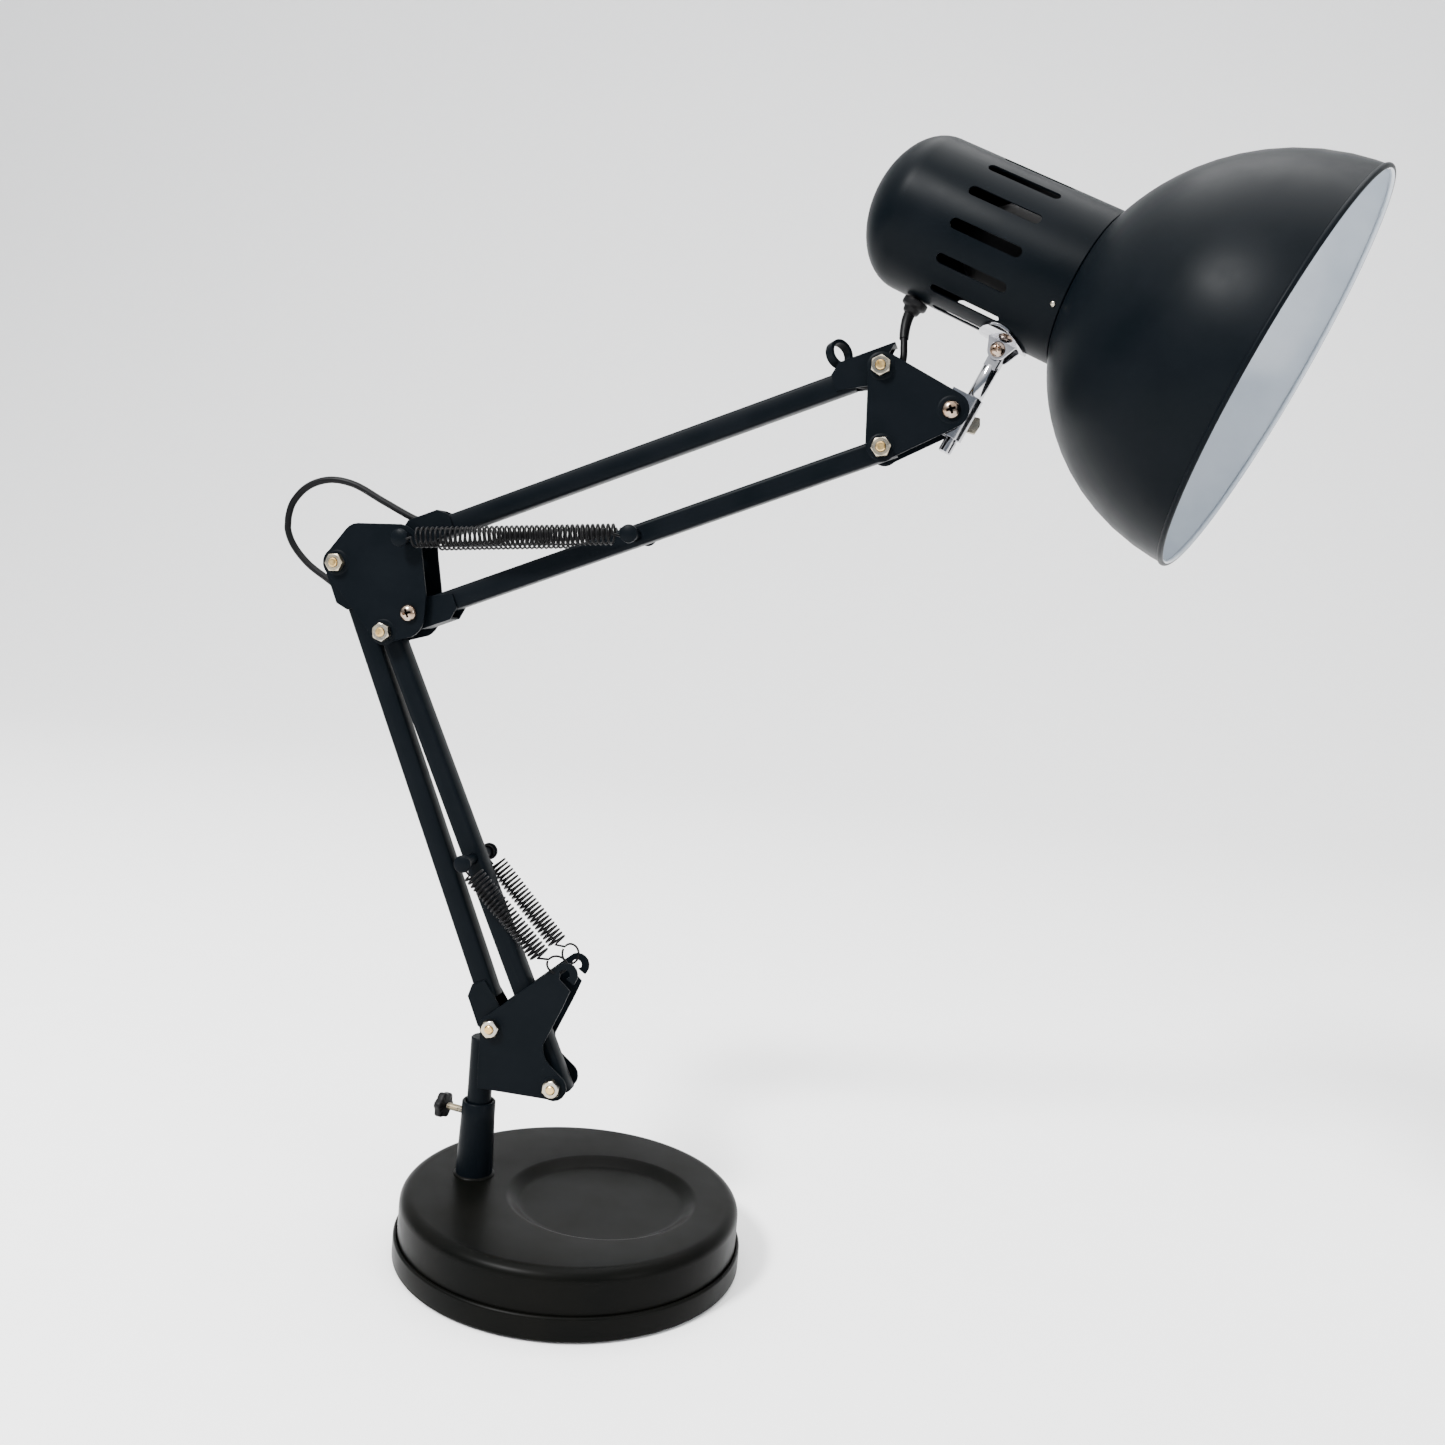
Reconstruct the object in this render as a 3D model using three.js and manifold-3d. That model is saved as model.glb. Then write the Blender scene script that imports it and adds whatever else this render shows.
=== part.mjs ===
// Swing arm desk lamp: a round weighted base, a swivel post, two pairs of parallel square bars with
// balance springs, and a vented socket sleeve with a domed shade on a chrome knuckle.
// Millimetres, +Z up. The origin is the centre of the base's underside. The arm lies in the plane
// y = 0 and reaches towards +X.
import * as THREE from "three";
import { mergeVertices } from "three/addons/utils/BufferGeometryUtils.js";
import Module from "manifold-3d";

const wasm = await Module();
wasm.setup();

// ---------------------------------------------------------------- driving dimensions
const GAP = 0.3; // between pieces that touch on the real lamp

// Base and post
const BASE = { rimR: 85, rimTop: 12.5, bodyR: 83, top: 32.4, edgeR: 5.5, wall: 1.5, padR: 78 };
const DISH = { x: 15.6, lipR: 45.5, floorR: 39.5, depth: 3.8 };
const POST = { x: -51.1, topR: 8.3, footR: 9.1, boreR: 6.5, foot: 23, top: 70.4 };
const STEM_R = 6;
const THUMB = { z: 63.3, azimuth: 168, knobR: 6.7, knobT: 4, knobAt: 18.6, shaftR: 1.75 };

// Arm: pivots in the plane y = 0, as [x, z]
const REAR_FOOT = [-43.6, 111.8];
const FRONT_FOOT = [-10.6, 86.5];
const REAR_KNEE = [-138.8, 330.1];
const FRONT_KNEE = [-112.5, 298.8];
const LOWER_KNEE = [-100.2, 309.0];
const UPPER_LINK = [-3.5, 35.5]; // from a lower pivot of the upper arm to the one above it
const UPPER_BAR = [218.6, 93.3]; // from the knee to the wrist
const UPPER_KNEE = plus(LOWER_KNEE, UPPER_LINK);
const LOWER_WRIST = plus(LOWER_KNEE, UPPER_BAR);
const UPPER_WRIST = plus(UPPER_KNEE, UPPER_BAR);
const CLAMP = [147.4, 420.7]; // clamp screw of the head
const SPRING_HOOK = [-9.0, 142.6];
const SPRING_PIN_AT = 117.3; // along a bar, from its pivot

const BAR = { size: 10, wall: 1, corner: 1.4 };
const PLATE = { inner: 9.2, outer: 10.4 }; // distances of a plate's two faces from y = 0
const BOLT = { r: 2.4, nutAF: 8, nutT: 3.6, headT: 3.2, end: 15.4 };
const HOLE_R = BOLT.r + GAP;
const OPEN_PIVOT_R = 4.1; // hole at the knee that leaves room for the linkage's small error
const PIN = { r: 2.4, headR: 4.3, headT: 2.4, half: 19.4 };
const SPRING = { y: 15.9, coilR: 5.1, wireR: 0.6 };

// Clamp strap and rod of the knuckle
const ROD = { r: 3, sleeveR: 3.5, tilt: 66.2, below: 17 };
const STRAP = { length: 20, wall: 1 };
const WING_TURN = 133;

// Head: its axis runs from the sleeve's seam towards the light
const HEAD = { seam: [202, -5.1, 475.1], swivel: -12, nose: 0.7 };
const SLEEVE = { r: 34.8, length: 108, domeDepth: 24, wall: 0.9 };
const SLOTS = { count: 14, first: -9.2, width: 4.6, from: -60, to: -25 };
const SHADE = { r: 87.2, depth: 86, semi: 93.7, wall: 0.9, beadR: 1.3, backAt: -1.6, holeR: 20.8 };
const HOLDER = { r: 20.2, boreR: 13.6, back: -60, front: 9, ringR: 27, ringT: 3.6, floor: -24 };
const HINGE = { at: -22.4, below: 4.8, pinR: 1.9, headR: 3.4, earIn: 3.9, earOut: 5 };
const SADDLE = { at: -23.5, halfX: 11.5, halfY: 16, thick: 1 };
const GLAND = { at: -68.6, r: 5.9, height: 6.5 };

// Mains lead
const LEAD_R = 1.7;
const COIL = { x: -34.6, y: 104.1, meanR: 18.5, width: 10.2, height: 10.4 };
const PLUG = { tip: [-10.2, 109.6], heading: -22, strain: 28, length: 22, width: 20, thick: 13, blade: 15 };

const COLOURS = {
  black: [0x15181b, 0.42, 0.35],
  blackPlastic: [0x141414, 0.55, 0],
  white: [0xe9ecee, 0.35, 0.05],
  chrome: [0xd8dade, 0.12, 1],
  zinc: [0xb9b4aa, 0.3, 1],
  iron: [0x4a4a4c, 0.7, 0.6],
  rubber: [0x202224, 0.85, 0],
  ceramic: [0xe6e2d8, 0.4, 0],
};

// ---------------------------------------------------------------- small tools
function plus(a, b) {
  return [a[0] + b[0], a[1] + b[1]];
}
function solidOf(geometry) {
  const g = (geometry.index ? geometry.toNonIndexed() : geometry.clone());
  g.deleteAttribute("normal");
  g.deleteAttribute("uv");
  const merged = mergeVertices(g, 1e-4);
  const vertProperties = merged.attributes.position.array;
  const triVerts = new Uint32Array(merged.index.array);
  const solid = new wasm.Manifold(new wasm.Mesh({ numProp: 3, vertProperties, triVerts }));
  if (solid.volume() > 0) return solid;
  for (let i = 0; i < triVerts.length; i += 3) {
    [triVerts[i + 1], triVerts[i + 2]] = [triVerts[i + 2], triVerts[i + 1]];
  }
  return new wasm.Manifold(new wasm.Mesh({ numProp: 3, vertProperties, triVerts }));
}
function geometryOf(solid) {
  const mesh = solid.getMesh();
  const position = new Float32Array(mesh.numVert * 3);
  for (let i = 0; i < mesh.numVert; i++) {
    position.set(mesh.vertProperties.subarray(i * mesh.numProp, i * mesh.numProp + 3), i * 3);
  }
  const g = new THREE.BufferGeometry();
  g.setAttribute("position", new THREE.BufferAttribute(position, 3));
  g.setIndex(new THREE.BufferAttribute(mesh.triVerts, 1));
  g.computeVertexNormals();
  return g;
}
function union(...geometries) {
  return geometryOf(geometries.map(solidOf).reduce((a, b) => a.add(b)));
}
function cut(geometry, ...tools) {
  return geometryOf(tools.map(solidOf).reduce((a, b) => a.subtract(b), solidOf(geometry)));
}
function box(x0, x1, y0, y1, z0, z1) {
  const g = new THREE.BoxGeometry(x1 - x0, y1 - y0, z1 - z0);
  return g.translate((x0 + x1) / 2, (y0 + y1) / 2, (z0 + z1) / 2);
}
// An outline in the xz plane, extruded from y0 to y1.
function slab(shape, y0, y1, curveSegments = 6) {
  const g = new THREE.ExtrudeGeometry(shape, { depth: y1 - y0, bevelEnabled: false, curveSegments });
  return g.rotateX(Math.PI / 2).translate(0, y1, 0);
}
// A cylinder along Y at [x, z].
function rodY(at, r, y0, y1, segments = 16) {
  const g = new THREE.CylinderGeometry(r, r, y1 - y0, segments);
  return g.translate(at[0], (y0 + y1) / 2, at[1]);
}
function rodZ(x, y, r0, r1, z0, z1, segments = 24) {
  const g = new THREE.CylinderGeometry(r1, r0, z1 - z0, segments).rotateX(Math.PI / 2);
  return g.translate(x, y, (z0 + z1) / 2);
}
function rodBetween(a, b, r, segments = 12) {
  const from = new THREE.Vector3(...a);
  const axis = new THREE.Vector3(...b).sub(from);
  const g = new THREE.CylinderGeometry(r, r, axis.length(), segments);
  const along = axis.clone().normalize();
  const turn = new THREE.Quaternion().setFromUnitVectors(new THREE.Vector3(0, 1, 0), along);
  return g.applyQuaternion(turn).translate(...from.addScaledVector(axis, 0.5).toArray());
}
// A profile of [radius, height] points turned about Z.
function turned(profile, segments) {
  const points = profile.map(([r, z]) => new THREE.Vector2(r, z));
  return new THREE.LatheGeometry(points, segments).rotateX(Math.PI / 2);
}
// A ring or shell whose profile closes on itself.
function turnedLoop(profile, segments) {
  return turned([...profile, profile[0]], segments);
}
function tube(points, r, steps, sides = 8) {
  const stations = points.map((p) => new THREE.Vector3(...p));
  const curve = new THREE.CatmullRomCurve3(stations, false, "centripetal");
  const section = new THREE.Shape();
  for (let i = 0; i < sides; i++) {
    const a = (2 * Math.PI * i) / sides;
    if (i) section.lineTo(r * Math.cos(a), r * Math.sin(a));
    else section.moveTo(r, 0);
  }
  return new THREE.ExtrudeGeometry(section, { steps, extrudePath: curve, bevelEnabled: false });
}
function outline(points) {
  const shape = new THREE.Shape();
  points.forEach(([x, z], i) => (i ? shape.lineTo(x, z) : shape.moveTo(x, z)));
  shape.closePath();
  return shape;
}
// Points of an arc about a centre, in degrees.
function arc(centre, r, from, to, steps = 6) {
  return Array.from({ length: steps + 1 }, (_, i) => {
    const a = ((from + ((to - from) * i) / steps) * Math.PI) / 180;
    return [centre[0] + r * Math.cos(a), centre[1] + r * Math.sin(a)];
  });
}

const lamp = new THREE.Group();
function add(name, geometry, look, placement = lamp) {
  const [color, roughness, metalness] = COLOURS[look];
  const material = new THREE.MeshStandardMaterial({ color, roughness, metalness });
  const mesh = new THREE.Mesh(geometryOf(solidOf(geometry)), material);
  mesh.name = name;
  placement.add(mesh);
}

// ---------------------------------------------------------------- base
function makeBase() {
  const { rimR, rimTop, bodyR, top, edgeR, wall, padR } = BASE;
  const floor = 2.3;
  add("foot_pad", turned([[0, 0], [padR, 0], [padR, 2], [0, 2]], 48), "rubber");
  const tray = [[0, floor], [padR + 1, floor], [padR + 2, 0.8], [rimR - 0.8, 0.8], [rimR, 1.6]];
  tray.push([rimR, rimTop - 0.8], [rimR - 0.8, rimTop], [rimR - wall, rimTop]);
  tray.push([rimR - wall, floor + wall], [0, floor + wall]);
  add("base_tray", turned(tray, 48), "black");

  const edge = arc([bodyR - edgeR, top - edgeR], edgeR, 0, 82, 5);
  const inner = arc([bodyR - edgeR, top - edgeR], edgeR - wall, 82, 0, 4);
  const foot = floor + wall + GAP;
  const shell = turned(
    [[0, top], ...edge.reverse(), [bodyR, foot], [bodyR - wall, foot], ...inner.reverse(), [0, top - wall]],
    48,
  );
  const well = rodZ(DISH.x, 0, DISH.lipR + 1.4, DISH.lipR + 1.4, top - DISH.depth - wall, top - 0.1, 40);
  const dish = rodZ(DISH.x, 0, DISH.floorR, DISH.lipR + 0.5, top - DISH.depth, top + 0.3, 40);
  const hole = rodZ(POST.x, 0, POST.footR + GAP, POST.footR + GAP, foot, top + 1);
  add("base_cover", cut(union(shell, well), dish, hole), "black");

  const weightR = 76;
  const weightTop = POST.foot - GAP;
  const bolt = { r: 3, headR: 6.5, headT: 4 };
  const disc = rodZ(0, 0, weightR, weightR, foot, weightTop, 40);
  const boltHole = rodZ(POST.x, 0, bolt.r + GAP, bolt.r + GAP, foot - 1, weightTop + 1, 16);
  const recess = rodZ(POST.x, 0, bolt.headR + 1, bolt.headR + 1, foot - 1, foot + bolt.headT + 1, 16);
  add("base_weight", cut(disc, boltHole, recess), "iron");
  const head = rodZ(POST.x, 0, bolt.headR, bolt.headR, foot + 0.6, foot + 0.6 + bolt.headT, 6);
  const shank = rodZ(POST.x, 0, bolt.r, bolt.r, foot + 1, POST.foot + 6, 16);
  add("post_bolt", union(head, shank), "zinc");
}

function makePost() {
  const { topR, footR, boreR, foot, top, x } = POST;
  const plug = foot + 8; // the foot is closed by a threaded plug
  const profile = [[3 + GAP, foot], [footR, foot], [footR, foot + 14], [topR, top - 8]];
  profile.push([topR, top - 0.8], [topR - 0.8, top], [boreR, top], [boreR, plug], [3 + GAP, plug]);
  const body = turnedLoop(profile, 24).translate(x, 0, 0);
  const a = (THUMB.azimuth * Math.PI) / 180;
  const out = (d, z = THUMB.z) => [x + d * Math.cos(a), d * Math.sin(a), z];
  add("post_tube", cut(body, rodBetween(out(0), out(12), THUMB.shaftR + GAP)), "black");
  add("thumb_screw_shaft", rodBetween(out(STEM_R + GAP), out(THUMB.knobAt - GAP), THUMB.shaftR), "zinc");

  const lobes = 6;
  const knob = new THREE.Shape();
  for (let i = 0; i <= 36; i++) {
    const t = (2 * Math.PI * i) / 36;
    const r = THUMB.knobR - 0.7 + 0.7 * Math.cos(lobes * t);
    if (i) knob.lineTo(r * Math.cos(t), r * Math.sin(t));
    else knob.moveTo(r, 0);
  }
  const disc = new THREE.ExtrudeGeometry(knob, { depth: THUMB.knobT, bevelEnabled: false });
  disc.rotateY(Math.PI / 2).rotateZ(a).translate(...out(THUMB.knobAt));
  add("thumb_screw_knob", disc, "blackPlastic");

  const stem = rodZ(x, 0, STEM_R, STEM_R, plug + 2, 103.2, 24);
  const block = box(-50, -41, -PLATE.inner + GAP, PLATE.inner - GAP, 83, 99);
  add("swivel_stem", union(stem, block), "black");
}

// ---------------------------------------------------------------- bracket plates
const lowerPlate = outline([
  [-49.6, 114.6], [-49.0, 80.4], [-13, 80.2],
  ...arc(FRONT_FOOT, 6.8, -105, 62, 8),
  ...arc([-4.2, 106.5], 13, 225, 178, 4),
  [-8.8, 126.7], [-5.6, 135.2], [-11.6, 140.4],
  ...arc([-8.9, 143], 2.6, 205, -20, 7),
  [-8.1, 141.1], [-4.2, 138.6],
  ...arc([-8.3, 143.1], 5.9, -35, 138, 8),
]);
const middlePlate = outline([
  ...arc(REAR_KNEE, 7.3, 128, 222, 6),
  ...arc(FRONT_KNEE, 6.2, 222, 318, 6),
  ...arc([-103.5, 307.5], 11.2, 300, 360, 5),
  [-92.0, 318.5], [-95.6, 338.5],
  ...arc([-108.2, 338.6], 12.6, 12, 84, 5),
  ...arc([-128.4, 341.6], 8.4, 96, 142, 3),
]);
const headPlate = outline([
  ...arc([116.4, 436.6], 7.3, 174, 63, 6),
  ...arc(CLAMP, 8, 63, -62, 8),
  ...arc([118.6, 404.2], 7.6, -62, -176, 7),
]);
const onlyY = (sign) => (sign < 0 ? [-PLATE.outer, -PLATE.inner] : [PLATE.inner, PLATE.outer]);
const SIDES = { near: -1, far: 1 };

function makePlates(name, shape, holes) {
  for (const [side, sign] of Object.entries(SIDES)) {
    const tools = holes.map(([at, r]) => rodY(at, r, -12, 12));
    add(`${name}_${side}`, cut(slab(shape, ...onlyY(sign)), ...tools), "black");
  }
}

// A screw or bolt along Y: head on the far side, nut and thread end on the near side.
function bolt(at) {
  const nut = rodY(at, BOLT.nutAF / Math.sqrt(3), -PLATE.outer - GAP - BOLT.nutT, -PLATE.outer - GAP, 6);
  const head = rodY(at, BOLT.nutAF / Math.sqrt(3), PLATE.outer + GAP, PLATE.outer + GAP + BOLT.headT, 6);
  return union(rodY(at, BOLT.r, -BOLT.end, PLATE.outer + 1), nut, head);
}
// A pan head screw along Y: head on the near side, nut on the far side.
function panScrew(at, end, extra = []) {
  const face = -PLATE.outer - GAP;
  const head = turned([[0, 0], [4.1, 0], [3.9, 1.2], [2.6, 2.3], [0, 2.7]], 16);
  head.rotateX(Math.PI / 2).translate(at[0], face, at[1]);
  return union(rodY(at, BOLT.r, face - 0.5, end), head, ...extra);
}
function springPin(at) {
  const ends = [-1, 1].map((s) => {
    const inner = s * (PIN.half - PIN.headT);
    return rodY(at, PIN.headR, Math.min(inner, s * PIN.half), Math.max(inner, s * PIN.half));
  });
  return union(rodY(at, PIN.r, -PIN.half + 1, PIN.half - 1), ...ends);
}

// ---------------------------------------------------------------- bars
// Bar pieces are drawn with the pivot at the origin and the bar along local +X.
function barGroup(from, to) {
  const [dx, dz] = [to[0] - from[0], to[1] - from[1]];
  const group = new THREE.Group();
  group.position.set(from[0], 0, from[1]);
  group.rotation.y = -Math.atan2(dz, dx);
  lamp.add(group);
  return { group, length: Math.hypot(dx, dz) };
}
function squareTube(x0, x1) {
  const half = BAR.size / 2;
  const section = (h, c) => {
    const at = [[h - c, 0], [h - c, 90], [h - c, 180], [h - c, 270]];
    return at.flatMap(([d, turn]) => {
      const sx = turn === 0 || turn === 270 ? 1 : -1;
      const sz = turn < 180 ? 1 : -1;
      return arc([sx * d, sz * d], c, turn, turn + 90, 2);
    });
  };
  const shape = outline(section(half, BAR.corner));
  shape.holes.push(new THREE.Path(section(half - BAR.wall, 0.5).map(([a, b]) => new THREE.Vector2(a, b))));
  const g = new THREE.ExtrudeGeometry(shape, { depth: x1 - x0, bevelEnabled: false });
  return g.rotateY(Math.PI / 2).translate(x0, 0, 0);
}
// A folded saddle at a bar's end: two cheeks on the pivot and a web on side +1 or -1.
// dir is +1 where the bar leaves towards +X. The web can have a slot for the lead.
function saddle(x, dir, side, options = {}) {
  const { webFrom = 2, slot = null } = options;
  const web = 8.8;
  const thick = 1;
  const cheekIn = BAR.size / 2 + GAP;
  const cheekOut = cheekIn + thick;
  const place = (p) => [x + dir * p[0], side * p[1]];
  const cheek = [[webFrom, web], [17.5, web], [22.5, 4.6], [22.5, -2.6], [9, -5.4]];
  const shape = outline([...cheek, ...arc([0, 0], 6, -90, -225, 6)].map(place));
  const boxBetween = (p, q, y) => {
    const [a, b] = [place(p), place(q)];
    const [x0, x1] = [Math.min(a[0], b[0]), Math.max(a[0], b[0])];
    return box(x0, x1, -y, y, Math.min(a[1], b[1]), Math.max(a[1], b[1]));
  };
  const cheeks = [slab(shape, -cheekOut, -cheekIn), slab(shape, cheekIn, cheekOut)];
  const body = union(...cheeks, boxBetween([webFrom, web - thick], [17.5, web], cheekOut));
  const tools = [rodY([x, 0], HOLE_R, -cheekOut - 1, cheekOut + 1)];
  if (slot) {
    tools.push(boxBetween([slot[0], web - thick - 1], [slot[1], web + 1], 2.4));
  }
  return cut(body, ...tools);
}

function makeRearBar() {
  const { group, length } = barGroup(REAR_FOOT, REAR_KNEE);
  const start = 13;
  const end = length - 9;
  const notch = box(end - 11, end + 1, -2.3, 2.3, 2.5, 6);
  add("rear_bar", cut(squareTube(start, end), notch), "black", group);
  add("rear_bar_foot_saddle", saddle(0, 1, 1), "black", group);
  add("rear_bar_knee_saddle", saddle(length, -1, 1, { slot: [1, 15] }), "black", group);
}
function makeFrontBar() {
  const { group, length } = barGroup(FRONT_FOOT, FRONT_KNEE);
  const holes = [
    rodY([0, 0], HOLE_R, -6, 6),
    rodY([length, 0], OPEN_PIVOT_R, -6, 6),
    rodY([SPRING_PIN_AT, 0], PIN.r + GAP, -6, 6),
  ];
  add("front_bar", cut(squareTube(-5.5, length + 5.2), ...holes), "black", group);
  add("lower_spring_pin", springPin([SPRING_PIN_AT, 0]), "black", group);
}
function makeTopBar() {
  const { group, length } = barGroup(UPPER_KNEE, UPPER_WRIST);
  add("top_bar", squareTube(13, length - 14), "black", group);
  add("top_bar_knee_saddle", saddle(0, 1, 1, { slot: [1, 11] }), "black", group);
  const eye = cableEye().translate(length - 16.5, 0, 13.4);
  const front = union(saddle(length, -1, 1, { webFrom: -9 }), eye);
  add("top_bar_wrist_saddle", front, "black", group);
}
// The loop of strip that holds the lead above the wrist.
function cableEye() {
  const outer = 6.4;
  const inner = 4.7;
  const width = 4.2;
  const ring = cut(rodY([0, 0], outer, -width / 2, width / 2, 24), rodY([0, 0], inner, -width, width, 24));
  return ring.rotateZ(0.85);
}
function makeLowerBar() {
  const { group, length } = barGroup(LOWER_KNEE, LOWER_WRIST);
  const holes = [rodY([length, 0], HOLE_R, -6, 6), rodY([SPRING_PIN_AT, 0], PIN.r + GAP, -6, 6)];
  add("lower_bar", cut(squareTube(9, length + 5.2), ...holes), "black", group);
  add("lower_bar_saddle", saddle(0, 1, -1), "black", group);
  add("upper_spring_pin", springPin([SPRING_PIN_AT, 0]), "black", group);
}

// ---------------------------------------------------------------- springs
// A balance spring's outer shape between two points, with a wire loop at each end.
function spring(from, to, bare) {
  const a = new THREE.Vector3(...from);
  const b = new THREE.Vector3(...to);
  const along = b.clone().sub(a).normalize();
  const at = (d) => a.clone().addScaledVector(along, d).toArray();
  const back = (d) => b.clone().addScaledVector(along, -d).toArray();
  const body = rodBetween(at(bare[0]), back(bare[1]), SPRING.coilR, 12);
  const wires = [rodBetween(at(PIN.r + 1), at(bare[0] + 1), SPRING.wireR * 1.6, 6)];
  wires.push(rodBetween(back(bare[2]), back(bare[1] + 1), SPRING.wireR * 1.6, 6));
  return union(body, ...wires);
}
function alongBar(from, to, d) {
  const length = Math.hypot(to[0] - from[0], to[1] - from[1]);
  return [from[0] + ((to[0] - from[0]) * d) / length, from[1] + ((to[1] - from[1]) * d) / length];
}
function makeSprings() {
  const lowerPin = alongBar(FRONT_FOOT, FRONT_KNEE, SPRING_PIN_AT);
  const upperPin = alongBar(LOWER_KNEE, LOWER_WRIST, SPRING_PIN_AT);
  for (const [side, sign] of Object.entries(SIDES)) {
    const y = sign * SPRING.y;
    const hook = [SPRING_HOOK[0], sign * (PLATE.outer + 1.2), SPRING_HOOK[1]];
    add(`lower_spring_${side}`, spring([lowerPin[0], y, lowerPin[1]], hook, [7, 13, 2.5]), "black");
    const knee = [UPPER_KNEE[0], y, UPPER_KNEE[1]];
    add(`upper_spring_${side}`, spring(knee, [upperPin[0], y, upperPin[1]], [7, 8, 3.6]), "black");
  }
}

// ---------------------------------------------------------------- knuckle
const rodAxis = [Math.cos((ROD.tilt * Math.PI) / 180), Math.sin((ROD.tilt * Math.PI) / 180)];

function makeKnuckle() {
  // Drawn with the clamp screw at the origin, the rod along local +Z and its offset towards +X.
  const group = new THREE.Group();
  group.position.set(CLAMP[0], 0, CLAMP[1]);
  group.rotation.y = Math.PI / 2 - (ROD.tilt * Math.PI) / 180;
  lamp.add(group);
  const inner = ROD.r + GAP;
  const outer = inner + STRAP.wall;
  const half = STRAP.length / 2;
  const offset = rodOffset();
  const length = rodLength();
  const section = new THREE.Shape();
  const wrap = (r, from, to) => arc([offset, 0], r, from, to, 8);
  const tail = -4.6;
  [
    [tail, -outer], ...wrap(outer, -90, 90), [tail, outer],
    [tail, inner], ...wrap(inner, 90, -90), [tail, -inner],
  ]
    .forEach(([x, y], i) => (i ? section.lineTo(x, y) : section.moveTo(x, y)));
  const strap = new THREE.ExtrudeGeometry(section, { depth: STRAP.length, bevelEnabled: false });
  strap.translate(0, 0, -half);
  add("clamp_strap", cut(strap, rodY([0, 0], HOLE_R, -6, 6)), "chrome", group);

  const top = length - 6.5;
  const tongueY = HINGE.earIn - GAP - 0.2;
  const stub = rodZ(offset, 0, ROD.r, ROD.r, -ROD.below, top, 20);
  const sleeve = rodZ(offset, 0, ROD.sleeveR, ROD.sleeveR, half + GAP, top, 20);
  const tongue = box(offset - 3.1, offset + 3.1, -tongueY, tongueY, top - 1, length);
  const end = rodY([offset, length], 3.2, -tongueY, tongueY);
  const eye = rodY([offset, length], HINGE.pinR + GAP, -4, 4);
  const swivel = new THREE.Matrix4().makeRotationZ((HEAD.swivel * Math.PI) / 180);
  const rod = cut(union(stub, sleeve, tongue, end), eye);
  rod.translate(-offset, 0, 0).applyMatrix4(swivel).translate(offset, 0, 0);
  add("knuckle_rod", rod, "chrome", group);
}
// Distance along the rod from the clamp screw to the head's hinge.
function rodLength() {
  const d = [hinge.x - CLAMP[0], hinge.z - CLAMP[1]];
  return d[0] * rodAxis[0] + d[1] * rodAxis[1];
}
// Distance of the rod's axis from the clamp screw, across the rod.
function rodOffset() {
  return (hinge.x - CLAMP[0]) * rodAxis[1] - (hinge.z - CLAMP[1]) * rodAxis[0];
}
function makeClampScrew() {
  const spacer = (y0, y1) => cut(rodY(CLAMP, 4.2, y0, y1), rodY(CLAMP, 1, y0 - 1, y1 + 1));
  const cheek = ROD.r + GAP + STRAP.wall + GAP;
  const sides = [spacer(-PLATE.inner + GAP, -cheek), spacer(cheek, PLATE.inner - GAP)];
  add("clamp_screw", panScrew(CLAMP, 19.5, sides), "zinc");

  const y0 = PLATE.outer + GAP;
  const hub = turned([[HOLE_R, 0], [5.2, 0], [4.2, 5.5], [HOLE_R, 5.5], [HOLE_R, 0]], 16);
  hub.rotateX(-Math.PI / 2).translate(CLAMP[0], y0, CLAMP[1]);
  const wing = outline([[3, -2.6], [7, -4.6], [12.2, -4.2], [13.2, 0.4], [11.8, 3.8], [3, 2.6]]);
  const wings = [30, 210].map((deg) => {
    const blade = new THREE.ExtrudeGeometry(wing, { depth: 2, bevelEnabled: false });
    blade.rotateX(Math.PI / 2).translate(0, 1, 0).rotateY((-(deg + WING_TURN) * Math.PI) / 180);
    return blade.translate(CLAMP[0], y0 + 3, CLAMP[1]);
  });
  add("wing_nut", union(hub, ...wings), "zinc");
}

// ---------------------------------------------------------------- head
// Head pieces are drawn with the seam's centre at the origin, +X along the axis to the light,
// +Y along the hinge and +Z away from the rod.
const headFrame = new THREE.Group();
function placeHead() {
  const along = new THREE.Vector3(rodAxis[0], 0, rodAxis[1]);
  const y = new THREE.Vector3(0, 1, 0).applyAxisAngle(along, (HEAD.swivel * Math.PI) / 180);
  const across = new THREE.Vector3().crossVectors(y, along).normalize();
  const x = across.applyAxisAngle(y, (HEAD.nose * Math.PI) / 180);
  const z = new THREE.Vector3().crossVectors(x, y);
  headFrame.matrix.makeBasis(x, y, z).setPosition(...HEAD.seam);
  headFrame.matrix.decompose(headFrame.position, headFrame.quaternion, headFrame.scale);
  headFrame.updateMatrixWorld(true);
  lamp.add(headFrame);
}
placeHead();
const inHead = (x, y, z) => new THREE.Vector3(x, y, z).applyMatrix4(headFrame.matrixWorld);
const hinge = inHead(HINGE.at, 0, -SLEEVE.r - HINGE.below);

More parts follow.
